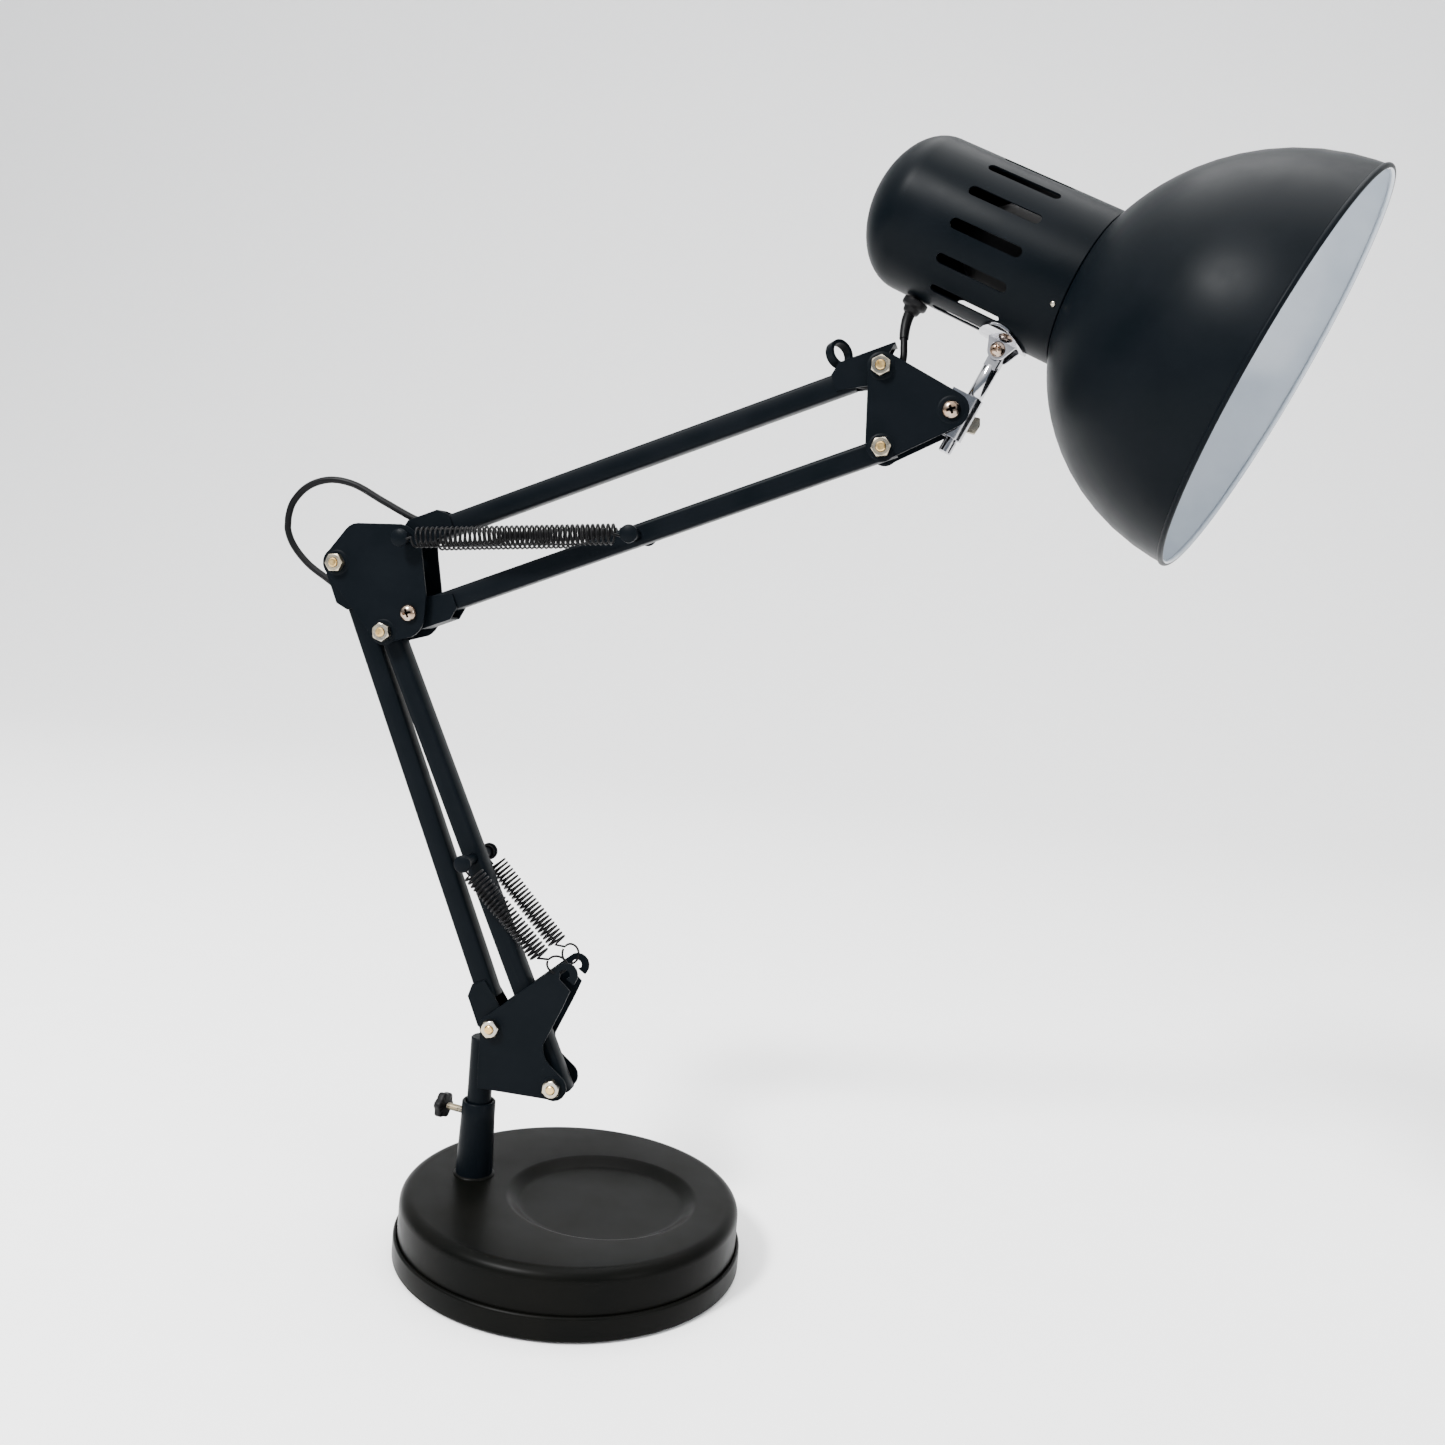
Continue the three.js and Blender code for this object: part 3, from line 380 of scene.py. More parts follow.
PAINT = surface("satin_black_enamel", (0.0012, 0.0022, 0.0032), 0.4, tint=(0.0018, 0.0028, 0.004), bump=0.08,
                specular=0.035)
BASE_PAINT = surface("base_black_enamel", (0.0012, 0.0014, 0.0012), 0.38, tint=(0.002, 0.002, 0.0016),
                     bump=0.08, specular=0.035)
WHITE = surface("white_enamel", (0.32, 0.36, 0.41), 0.22, tint=(0.36, 0.4, 0.445), bump=0.06, coat=0.35)
SPRING_STEEL = surface("black_spring_wire", (0.0015, 0.0015, 0.0018), 0.38, tint=(0.003, 0.003, 0.0034),
                       grain=2600, specular=0.08)
CHROME = surface("polished_chrome", (0.5, 0.5, 0.52), 0.13, 1.0, tint=(0.36, 0.36, 0.38), spread=0.05,
                 blotch=240, stretch=(1, 1, 0.35), grain=500, bump=0.5)
ZINC = surface("bright_zinc", (0.3, 0.285, 0.25), 0.27, 1.0, tint=(0.42, 0.36, 0.26), spread=0.08, blotch=160,
               stretch=(1, 0.25, 1), bump=0.2)
BRASSY = surface("brassy_bolt_end", (0.46, 0.28, 0.09), 0.3, 1.0, tint=(0.6, 0.42, 0.18), spread=0.08,
                 blotch=300)
# Nickel plating whose warm brown tone is a painted orange reflection, not the metal's own colour.
NICKEL_WITH_PAINTED_REFLECTION = surface("nickel_screw_with_painted_reflection", (0.34, 0.29, 0.25), 0.2, 1.0, tint=(0.26, 0.17, 0.11), spread=0.06,
                 blotch=260)
PLASTIC = surface("moulded_black_plastic", (0.002, 0.002, 0.0023), 0.46, tint=(0.0035, 0.0035, 0.004),
                  grain=3200, bump=0.3, specular=0.1)
PVC = surface("black_pvc_sheath", (0.002, 0.002, 0.0023), 0.44, tint=(0.0035, 0.0035, 0.004), grain=900,
              bump=0.08, specular=0.07)
RUBBER = surface("black_foot_pad", (0.02, 0.02, 0.021), 0.8, tint=(0.03, 0.03, 0.031), grain=700, bump=0.5)
IRON = surface("cast_weight", (0.09, 0.09, 0.095), 0.7, 0.8, tint=(0.05, 0.045, 0.04), grain=400, bump=0.7)
BRASS = surface("plug_blade_brass", (0.78, 0.62, 0.32), 0.24, 1.0, tint=(0.7, 0.55, 0.3))

KEPT = {"foot_pad": RUBBER, "base_weight": IRON, "post_bolt": ZINC, "top_bar_lead": PVC, "rear_bar_lead": PVC}
for node, look in KEPT.items():
    for material_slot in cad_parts[node].material_slots:
        material_slot.material = look


# ---------------------------------------------------------------- mains lead
def beside(pivot, towards, points):
    """Points along a bar and off it, in the arm's plane."""
    a, b = flat(pivot), flat(towards)
    u = (b - a).normalized()
    w = Vector((-u.z, 0, u.x))
    return [a + u * s + w * p for s, p in points]


def lead(name, points, node, per=8):
    """A stretch of lead that replaces a CAD node."""
    path = spline(points, per)
    obj = piece(name, tube(path, LEAD_R, 12), PVC, None, [node], angle=60)
    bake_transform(obj)


def make_head_lead():
    gland = [in_head(GLAND_AT, 0, -z) for z in (42, 36, 30, 22)]
    rise = [(121.5, 1.2, 437.6), (123.2, 3.0, 443.6), (122.8, 5.0, 449.6), (122.3, 7.0, 455.2),
            (122.6, 8.7, 460.8)]
    along_bar = [(24, 0.3), (19, 0.6), (14, 1.8), (8.5, 4.4), (3, 5.9), (-2.2, 5.2)]
    lower = beside(UPPER_WRIST, UPPER_KNEE, along_bar)
    whole = spline(lower + [Vector(p) for p in rise] + gland, 10)
    rising = [i for i, p in enumerate(whole) if p.x >= 119]  # past the wrist bolt
    stops = [min(rising, key=lambda i: abs(whole[i].z - h)) for h in (438.5, 446.0, 453.0)]
    parts = [whole[a : b + 1] for a, b in zip([0] + stops, stops + [len(whole) - 1])]
    for name, path, pair in (("head_lead_bend", parts[1], ("head_bracket", "knuckle")),
                             ("head_lead_middle", parts[2], ("knuckle", "rod"))):
        obj = piece(name, tube(path, LEAD_R, 12), PVC, None, angle=60)
        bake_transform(obj)
    lead("head_lead_wrist", parts[0], "head_lead_lower",
         per=1)
    covered = [p for p in parts[3] if (p - SEAM).dot(HEAD_Z) < -SLEEVE_R - 6.4]
    radii = [2.15 + 0.6 * k / (len(covered) - 1) for k in range(len(covered))]
    boot = piece("head_lead_strain_relief", tube(covered, 1, 16, radii), PVC, None, angle=60)
    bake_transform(boot)
    lead("head_lead_top", parts[3], "head_lead_upper", per=1)


def make_elbow_lead():
    turn = (-171, 347.5)  # the loop's outermost point
    out_of_bar = [(24, -0.3), (18, -0.8), (13.5, 0.6), (9.5, 3.6), (5.7, 7.2), (1.9, 10.5)]
    over = [(-121.2, 361.5), (-137.8, 368.8), (-150.6, 369.9), (-161.7, 365.7), (-168.9, 357.6),
            (-170.9, 350.6), turn]
    under = [turn, (-170.9, 344.4), (-167.9, 337.5), (-159.4, 328.5), (-147.6, 321.2)]
    into_bar = [(8.9, -8.6), (12.5, -5.9), (16.5, -3), (21, -0.9), (26, 0)]
    upper = beside(UPPER_KNEE, UPPER_WRIST, out_of_bar) + [flat(p) for p in over]
    lower = [flat(p) for p in under] + beside(REAR_KNEE, REAR_FOOT, into_bar)
    lead("elbow_lead_top", upper, "elbow_lead_upper")
    lead("elbow_lead_low", lower, "elbow_lead_lower")


def coil_path():
    """Turns wound beside and on each other, entered and left along the outside of the coil."""
    step, per_turn = 2 * LEAD_R, 48
    cells = [(2, 0), (1, 0), (0, 0), (0, 1), (0, 2), (1, 2), (1, 1), (2, 1), (2, 2)]  # column, layer
    cells = [(COIL_MEAN_R + (c - 1) * step, TABLE_LEAD_Z + h * step) for c, h in cells]
    at = lambda r, h, a: COIL + Vector((r * math.cos(a), r * math.sin(a), h))
    shift, a = math.radians(40), math.radians(100)
    first, last = math.radians(290), math.radians(85)
    turns = [first] + [2 * math.pi - shift] * (len(cells) - 2) + [last]
    points = []
    for i, (r, h) in enumerate(cells):
        turn = turns[i]
        steps = int(per_turn * turn / (2 * math.pi))
        points += [at(r, h, a - turn * k / steps) for k in range(steps)]
        a -= turn
        if i < len(cells) - 1:
            r2, h2 = cells[i + 1]
            for k in range(6):
                t = k / 6
                s = t * t * (3 - 2 * t)
                points.append(at(r + (r2 - r) * s, h + (h2 - h) * s, a - shift * t))
            a -= shift
    return points


def make_tail_lead():
    """Out of the rear bar, round the bracket's edge and down beside the post to the base."""
    tail = beside(REAR_FOOT, REAR_KNEE, [(26, 0), (19, 0.4), (14.5, 1.3), (10.5, 3), (6, 4.7)])
    tail += [Vector(p) for p in ((-49.6, 0.3, 111.4), (-50.4, 2.8, 107.6), (-51.9, 7, 105),
                                 (-53, 10.8, 101.6), (-53.9, 13, 96), (-54.5, 13.8, 90.2))]
    lead("tail_lead_top", tail, "tail_lead_upper")
    drop = [Vector(p) for p in ((-54.5, 13.8, 90.2), (-55, 14, 80), (-55.3, 14, 68), (-55.5, 14, 56),
                                (-55.7, 14.1, 48.5), (-56.2, 15.8, 41.4), (-57.8, 20.8, 36.6),
                                (-60.2, 27.6, 34.8), (-62.55, 34.15, 34.6))]
    lead("tail_lead_low", drop, "tail_lead_lower")


def make_table_lead():
    """Over the base's edge, along the table and round the stored coil to the plug."""
    z = TABLE_LEAD_Z
    start = [Vector(p) for p in ((-62.55, 34.15, 34.6), (-66.4, 45, 34.2), (-69.4, 53.5, 28.5),
                                 (-71.3, 59.5, 18), (-72.7, 64.5, 8.5), (-73.7, 70, 3.2), (-74, 76, z),
                                 (-72.6, 83, z), (-68.6, 89.6, z), (-65.2, 95.4, z), (-63.5, 102, z))]
    for k in range(1, 5):  # in along the outside of the first turn
        a, r = math.radians(184 - 20 * k), 28.9 - 1.75 * k
        start.append(COIL + Vector((r * math.cos(a), r * math.sin(a), z)))
    turns = coil_path()
    heading = Vector((math.cos(PLUG_HEADING), math.sin(PLUG_HEADING), 0))
    last = [Vector((-15.4, 115.2, 7.8)), PLUG_TIP - heading * 2.2, PLUG_TIP + heading * 6]
    path = spline(start, 6) + turns + spline([turns[-6]] + [turns[-1]] + last, 8)[9:]
    obj = piece("table_lead_and_coil", tube(path, LEAD_R, 12), PVC, "base",
                ["table_lead", "lead_coil"], angle=60)
    plug = make_plug(heading)


def make_plug(heading):
    side = Vector((-heading.y, heading.x, 0))
    place = (PLUG_TIP, heading, side, Vector((0, 0, 1)))
    relief = []
    for i in range(14):  # ribbed and tapered
        h = i * 2.0
        swell = LEAD_R + 0.45 + 1.3 * i / 13
        relief += [(swell, h), (swell, h + 1.1), (swell - 0.35, h + 1.35), (swell - 0.35, h + 1.9)]

    def box_ring(half_w, half_t, h, power=4.0, n=40):
        """A rounded box's outline at distance h from the strain relief's tip."""
        points = []
        for i in range(n):
            a = 2 * math.pi * i / n
            c, s = math.cos(a), math.sin(a)
            u = half_w * math.copysign(abs(c) ** (2 / power), c)
            v = half_t * math.copysign(abs(s) ** (2 / power), s)
            points.append(PLUG_TIP + heading * h + side * u + Vector((0, 0, v)))
        return points

    body = [(3.2, 3.2, 27), (4.5, 4.2, 28.2), (7.4, 5.6, 31), (9.4, 6.3, 35), (9.7, 6.35, 41),
            (9.3, 6.2, 45.6), (9.3, 6.2, 46.2), (9.8, 6.4, 46.4), (9.8, 6.4, 49), (9.4, 6.0, 49.8)]
    sleeve = loft([circle(place, r, h, 24) for r, h in relief], cap_start=True, cap_end=True)
    block = loft([box_ring(w, t, h) for w, t, h in body], cap_start=True, cap_end=True)
    shell = piece("plug_body", merged(sleeve, block), PLASTIC, "base", ["mains_plug"], angle=50)
    blades, half_t, half_w = [], 0.75, 3.1
    for s in (-BLADE_SPACING, BLADE_SPACING):
        corners = [(-half_t, -half_w), (half_t, -half_w), (half_t, half_w), (-half_t, half_w)]
        ring = lambda h, k: [PLUG_TIP + heading * h + side * (s + u * k) + Vector((0, 0, v * k))
                             for u, v in corners]
        blades.append(loft([ring(49, 1), ring(62.5, 1), ring(64.5, 0.7)], cap_start=True, cap_end=True))
    pins = piece("plug_blades", merged(*blades), BRASS, "base", angle=25)
    return [shell, pins]


make_head_lead()
make_elbow_lead()
make_tail_lead()
make_table_lead()


# ---------------------------------------------------------------- base and post
def make_base():
    """The base cover, with its off-centre dish, and the tray under it."""
    around = lambda x, r, h: circle((Vector((x, 0, 0)), *WORLD_UP[1:]), r, h, 144)
    edge = 5.5
    rings = [around(0, BODY_R, 4.1), around(0, BODY_R, 13), around(0, BODY_R, BASE_TOP - edge)]
    for k in range(1, 9):
        a = math.radians(90 * k / 8)
        rings.append(around(0, BODY_R - edge + edge * math.cos(a), BASE_TOP - edge + edge * math.sin(a)))
    rings.append(around(0, BODY_R - edge - 0.8, BASE_TOP))
    dish = [(47.4, 0), (46.6, 0.08), (45.8, 0.4), (45.0, 0.95), (41.4, 3.1), (40.6, 3.5), (39.6, 3.72),
            (38, 3.8), (20, 3.8), (0, 3.8)]
    under = [(0, 5.3), (38.6, 5.3), (46.8, 1.6)]
    rings += [around(DISH_X, r, BASE_TOP - drop) for r, drop in dish + under]
    rings += [around(0, r, h) for r, h in ((76, 30.8), (80.2, 28.6), (81.5, 26), (81.5, 4.1))]
    piece("base_shell", loft(rings, closed=True), BASE_PAINT, "base", ["base_cover"], angle=50)
    tray = [(79, 2.35), (80.2, 0.8), (84.2, 0.8), (85, 1.6), (85, 11.7), (84.2, 12.5), (83.45, 12.5),
            (83.45, 3.8), (0, 3.8), (0, 2.35)]
    piece("base_rim", lathe(WORLD_UP, softened(tray, 0.5), 144), BASE_PAINT, "base", ["base_tray"],
          angle=50)


def make_post():
    foot = (Vector((POST_X, 0, 0)), *WORLD_UP[1:])
    tube_wall = [(3.4, 23), (9.1, 23), (9.1, 37), (8.75, 50), (8.35, 62), (8.3, POST_TOP - 0.5),
                 (7.9, POST_TOP), (6.9, POST_TOP), (6.5, POST_TOP - 0.5), (6.5, 31), (3.4, 31)]
    piece("post_body", lathe(foot, tube_wall, 64), PAINT, "base", ["post_tube"], angle=50)
    collar = [(9.15, 32.45), (10.2, 32.45), (10.1, 33.0), (9.15, 33.5)]
    piece("post_weld", lathe(foot, collar, 64), BASE_PAINT, "base", angle=60)

    out = Vector((math.cos(THUMB_AZIMUTH), math.sin(THUMB_AZIMUTH), 0))
    screw = spun((POST_X, 0, THUMB_Z), out)
    piece("thumb_screw_thread", threaded(screw, 1.75, 6.4, 18.4, pitch=0.7), ZINC, "thumb_screw",
          ["thumb_screw_shaft"], angle=25)
    lobed = lambda r: (lambda a: r - 0.5 + 0.5 * math.cos(6 * a))
    grip = [(2.2, 0.0), (6.2, 0.0), (6.6, 0.45), (6.68, 1.2), (6.68, 2.9), (6.5, 3.6), (5.9, 3.95),
            (2.6, 3.95), (2.2, 3.6)]
    rings = [circle(screw, r, 18.6 + h, 72, lobed(r) if r > 5 else None) for r, h in grip]
    piece("thumb_screw_grip", loft(rings, cap_start=True, cap_end=True), PLASTIC, "thumb_screw",
          ["thumb_screw_knob"], angle=50)
    stem = [(0, 33), (5.6, 33), (6, 33.4), (6, 102.6), (5.4, 103.2), (0, 103.2)]
    parts = [lathe(foot, stem, 48, closed=False)]
    block = [(-50, 83), (-41, 83), (-41, 99), (-50, 99)]
    ring = lambda y: [Vector((u, y, v)) for u, v in block]
    parts.append(loft([ring(-8.9), ring(8.9)], cap_start=True, cap_end=True))
    piece("swivel_stem_body", merged(*parts), PAINT, "turret", ["swivel_stem"])


# ---------------------------------------------------------------- screws and pins
def hex_bolt(name, at, body, node, turn=0.0):
    near = turned_about(along_y(at, -PLATE_OUT - GAP, -1), turn)
    far = along_y(at, PLATE_OUT + GAP, 1)
    parts = [nut(near, 8.0, 3.6, 2.1), nut(far, 8.0, 3.2, 1.2)]
    piece(name + "_nut", merged(*parts), ZINC, body, [node], angle=28)
    shank = threaded(along_y(at, 0, -1), 2.4, -13.6, 15.3, pitch=0.8, plain=23)
    piece(name + "_thread", shank, BRASSY, body, angle=28)
    embossed(name, at, body)


def turned_about(place, degrees):
    origin, axis, one, two = place
    turn = Matrix.Rotation(math.radians(degrees), 3, axis)
    return (origin, axis, turn @ one, turn @ two)


def embossed(name, at, body):
    """The shallow pressed ring round a bolt hole, on both plates."""
    parts, r = [], 6.4
    for out in (-1, 1):
        place = along_y(at, out * (PLATE_OUT - 0.1), out)
        profile = [(2.75, 0), (r, 0), (r - 0.5, 0.22), (r - 1.1, 0.34), (2.75, 0.34)]
        parts.append(lathe(place, profile, 40))
    piece(name + "_boss", merged(*parts), PAINT, body, angle=50)


def cut_cross(screw, place, turn, bottom, top):
    """Cuts a cross recess into a screw head. bottom and top are (half length, half width, height)."""
    for degrees in (turn, turn + 90):
        origin, axis, one, two = turned_about(place, degrees)
        rect = lambda u, v, h: [origin + axis * h + one * a + two * b
                                for a, b in ((-u, -v), (u, -v), (u, v), (-u, v))]
        cut_with(screw, loft([rect(*bottom), rect(*top)], cap_start=True, cap_end=True))


def cross_head(name, at, body, node, end):
    """A pan head screw with a cross recess on the near side, and its shank, which stops at end."""
    place = along_y(at, -PLATE_OUT - GAP, -1)
    head = [(0, 0), (3.9, 0), (4.1, 0.25), (4.05, 0.7), (3.7, 1.45), (2.9, 2.1), (1.6, 2.55), (0, 2.7)]
    screw = lathe(place, head, 48, closed=False)
    obj = piece(name + "_head", screw, NICKEL_WITH_PAINTED_REFLECTION, body, [node], angle=35)
    cut_cross(obj, place, 22, (1.2, 0.4, 0.7), (2.7, 0.62, 3.2))
    shank = threaded(along_y(at, 0, 1), 2.4, -PLATE_OUT - 1, end - 0.1, plain=PLATE_OUT + 1)
    piece(name + "_shank", shank, ZINC, body, angle=28)


def pin_on(start, end):
    """Where a bar's spring pin is, in the arm's plane."""
    at = flat(start).lerp(flat(end), SPRING_PIN_AT / (flat(end) - flat(start)).length)
    return (at.x, at.z)


def spool_pin(name, at, body, node):
    """A pin across the arm, with a rounded head outside each spring."""
    half = 19.4
    side = [(0, -half), (3.6, -half), (4.2, -half + 0.5), (4.3, -half + 1.2), (4.1, -half + 2.1),
            (3.5, -half + 2.4), (2.4, -half + 2.4)]
    profile = side + [(r, -h) for r, h in reversed(side)]
    piece(name, lathe(along_y(at, 0, 1), profile, 40, closed=False), PAINT, body, [node], angle=40)


def make_hardware():
    hex_bolt("rear_foot", REAR_FOOT, "turret", "rear_foot_bolt", 12)
    hex_bolt("front_foot", FRONT_FOOT, "turret", "front_foot_bolt", 25)
    hex_bolt("rear_knee", REAR_KNEE, "middle_bracket", "rear_knee_bolt", 5)
    hex_bolt("front_knee", FRONT_KNEE, "middle_bracket", "front_knee_bolt", 40)
    hex_bolt("upper_wrist", UPPER_WRIST, "head_bracket", "upper_wrist_bolt", 30)
    hex_bolt("lower_wrist", LOWER_WRIST, "head_bracket", "lower_wrist_bolt", 10)
    cross_head("lower_knee", LOWER_KNEE, "middle_bracket", "lower_knee_screw", 14)
    cross_head("clamp", CLAMP, "head_bracket", "clamp_screw", 19.5)
    embossed("clamp", CLAMP, "head_bracket")
    spacer = [(2.5, 0), (4.2, 0), (4.2, 4.25), (2.5, 4.25)]
    spacers = [lathe(along_y(CLAMP, s * 4.6, s), spacer, 32) for s in (-1, 1)]
    piece("clamp_spacers", merged(*spacers), ZINC, "head_bracket", angle=40)
    spool_pin("upper_knee_spool", UPPER_KNEE, "middle_bracket", "upper_knee_pin")
    spool_pin("lower_spring_spool", pin_on(FRONT_FOOT, FRONT_KNEE), "front_bar", "lower_spring_pin")
    spool_pin("upper_spring_spool", pin_on(LOWER_KNEE, LOWER_WRIST), "lower_bar", "upper_spring_pin")


# ---------------------------------------------------------------- brackets and bars
def make_arm():
    for side in ("near", "far"):
        for node, body in (("lower_bracket", "turret"), ("middle_bracket", "middle_bracket"),
                           ("head_bracket", "head_bracket")):
            fine(f"{node}_{side}", PAINT, body, 0.32)
    for node, body in (("rear_bar", "rear_bar"), ("front_bar", "front_bar"), ("top_bar", "top_bar"),
                       ("lower_bar", "lower_bar")):
        fine(node, PAINT, body, 0.2)
    for node, body in (("rear_bar_foot_saddle", "rear_bar"), ("rear_bar_knee_saddle", "rear_bar"),
                       ("top_bar_knee_saddle", "top_bar"), ("top_bar_wrist_saddle", "top_bar"),
                       ("lower_bar_saddle", "lower_bar")):
        fine(node, PAINT, body, 0.3)


# ---------------------------------------------------------------- springs
SPRING_Y, COIL_R, WIRE, PIN_EYE_R = 15.9, 4.5, 0.58, 3.1


def eye(centre, u, w, r, start, end, steps=20, lean=0.0):
    """Part of a wire loop round a centre in the plane of u and w, in degrees. lean tips it along Y."""
    points = []
    for k in range(steps + 1):
        a = math.radians(start + (end - start) * k / steps)
        tip = Vector((0, lean * (1 - math.cos(a)) / 2, 0))
        points.append(centre + u * (r * math.cos(a)) + w * (r * math.sin(a)) + tip)
    return points


def helix(a, b, turns, r, per=16):
    """A coil from a to b."""
    u = (b - a).normalized()
    one = Vector((0, 1, 0))
    two = u.cross(one)
    points = []
    count = int(turns * per)
    for k in range(count + 1):
        angle = 2 * math.pi * k / per + math.pi
        points.append(a.lerp(b, k / count) + (one * math.cos(angle) + two * math.sin(angle)) * r)
    return points


def make_springs():
    for side, sign in (("near", -1), ("far", 1)):
        y = sign * SPRING_Y
        a, b = flat(UPPER_KNEE, y), flat(pin_on(LOWER_KNEE, LOWER_WRIST), y)
        u = (b - a).normalized()
        w = Vector((-u.z, 0, u.x))
        path = eye(a, -u, w, PIN_EYE_R, 20, 320, 22) + helix(a + u * 6.6, b - u * 7.2, 40, COIL_R)
        path += eye(b, -u, w, PIN_EYE_R, -30, 300, 22)
        obj = piece(f"upper_spring_wire_{side}", tube(path, WIRE, 7), SPRING_STEEL, None,
                    [f"upper_spring_{side}"], angle=80)
        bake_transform(obj)

        a = flat(pin_on(FRONT_FOOT, FRONT_KNEE), y)
        b = Vector((SPRING_HOOK[0], sign * 12.4, SPRING_HOOK[1]))
        coil_end = Vector((-20.6, sign * 13.6, 151.6))
        u = (coil_end - a).normalized()
        w = Vector((-u.z, 0, u.x))
        path = eye(a, -u, w, PIN_EYE_R, 20, 320, 22) + helix(a + u * 6.6, coil_end, 24, COIL_R)
        path += eye(Vector((-12.9, sign * 12.6, 147.6)), -u, w, 4.6, -10, 335, 26, -sign * 3.4)
        obj = piece(f"lower_spring_wire_{side}", tube(path, WIRE, 7), SPRING_STEEL, None,
                    [f"lower_spring_{side}"], angle=80)
        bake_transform(obj)


# ---------------------------------------------------------------- knuckle
def make_knuckle():
    fine("clamp_strap", CHROME, "knuckle", 0.25, angle=60)
    top = ROD_LENGTH
    shaft = [(0, -17), (2.6, -17), (3, -16.5), (3, -11.4), (2.75, -11.2), (2.75, -10.7), (3, -10.5),
             (3, 10.3), (3.3, 10.3), (3.5, 10.6), (3.5, top - 7.2), (3.1, top - 6.4), (0, top - 6.4)]
    piece("knuckle_shaft", lathe(ROD, shaft, 48, closed=False), CHROME, "rod", ["knuckle_rod"])
    outline = [(-3.1, top - 8), (-3.1, top), *arc((0, top), 3.15, 170, 10, 12), (3.1, top), (3.1, top - 8)]
    origin, axis, one, two = ROD
    ring = lambda y, k: [origin + one * y + two * (p * k) + axis * h for p, h in outline]
    rings = [ring(-3.35, 0.92), ring(-3.0, 1), ring(3.0, 1), ring(3.35, 0.92)]
    piece("knuckle_tongue", loft(rings, cap_start=True, cap_end=True), CHROME, "rod")
    wing_nut = fine("wing_nut", ZINC, "wing_nut", 0.8, angle=40)
    wing_nut.modifiers["edges"].segments = 4


# ---------------------------------------------------------------- head
def make_sleeve():
    r, wall = SLEEVE_R - 0.08, SLEEVE_WALL  # a hair inside the CAD sleeve's facets
    dome = lambda radius, depth: [(radius * math.cos(a), -SLEEVE_LEN + DOME_DEPTH - depth * math.sin(a))
                                  for a in (math.radians(90 * k / 16) for k in range(17))]
    outer = [(max(p, 0), h) for p, h in reversed(dome(r, DOME_DEPTH))]
    inner = [(max(p, 0), h) for p, h in dome(r - wall, DOME_DEPTH - wall)]
    profile = outer + [(r, -40), (r, -0.6), (r - 0.25, -0.3), (r - wall, -0.3), (r - wall, -40)] + inner
    shell = lathe(HEAD, profile, 168, closed=False)
    sleeve = piece("sleeve_shell", shell, PAINT, "head", ["socket_sleeve"])
    tools, half = [], 2.3
    outline = arc((-25 - half, 0), half, -90, 90, 8) + arc((-60 + half, 0), half, 90, 270, 8)
    for k in range(14):
        a = math.radians(-9.2 + k * 360 / 14)  # from the near side up over the top
        out = HEAD_Z * math.sin(a) - HEAD_Y * math.cos(a)
        tools.append(prism(outline, (SEAM, out, HEAD_X, HEAD_X.cross(out)), r - 4, r + 2))
    cut_with(sleeve, merged(*tools))
    gland = (in_head(GLAND_AT, 0, 0), -HEAD_Z, HEAD_X, -HEAD_Y)
    cut_with(sleeve, lathe(gland, [(0, r - 5), (2.3, r - 5), (2.3, r + 3), (0, r + 3)], 24, closed=False))


def make_shade():
    dome = lambda x, inset: (SHADE_R - inset) * math.sqrt(1 - ((SHADE_DEPTH - x) / (SHADE_SEMI - inset)) ** 2)
    """The spun bowl: black outside with a black rolled rim, white inside."""
    stations = [0.25, 1, 2, 3.5, 5.5, 8, 11, 15, 20, 26, 33, 41, 50, 60, 71, 80, SHADE_DEPTH - 1.6]
    outer = [(dome(x, 0), x) for x in stations]
    inner = [(dome(x, 0.9), x) for x in reversed(stations[2:])]
    bead = arc((SHADE_R - 0.4, SHADE_DEPTH - 0.6), 1.25, -50, 225, 14)
    neck = SLEEVE_R - SLEEVE_WALL - GAP
    back = [(neck - 0.9, 1.3), (neck - 0.9, -0.5), (neck - 1.4, -0.7), (20.8, -0.7), (20.8, -1.6),
            (neck - 0.4, -1.6), (neck, -1.2), (neck, 0.25)]
    profile = outer + bead + inner + back

    def is_inside(centre, normal):
        rel = Vector(centre) - SEAM
        h = rel.dot(HEAD_X)
        radial = (rel - HEAD_X * h).normalized()
        if h > SHADE_DEPTH - 1.9:
            return (rel - HEAD_X * h).length < SHADE_R - 0.6 and h < SHADE_DEPTH + 2
        return normal.dot(radial) < -0.05 or (h < 3 and normal.dot(HEAD_X) > 0.5)

    piece("shade_bowl", lathe(HEAD, profile, 192), PAINT, "head", ["shade"], inner=is_inside,
          second=WHITE, angle=50)


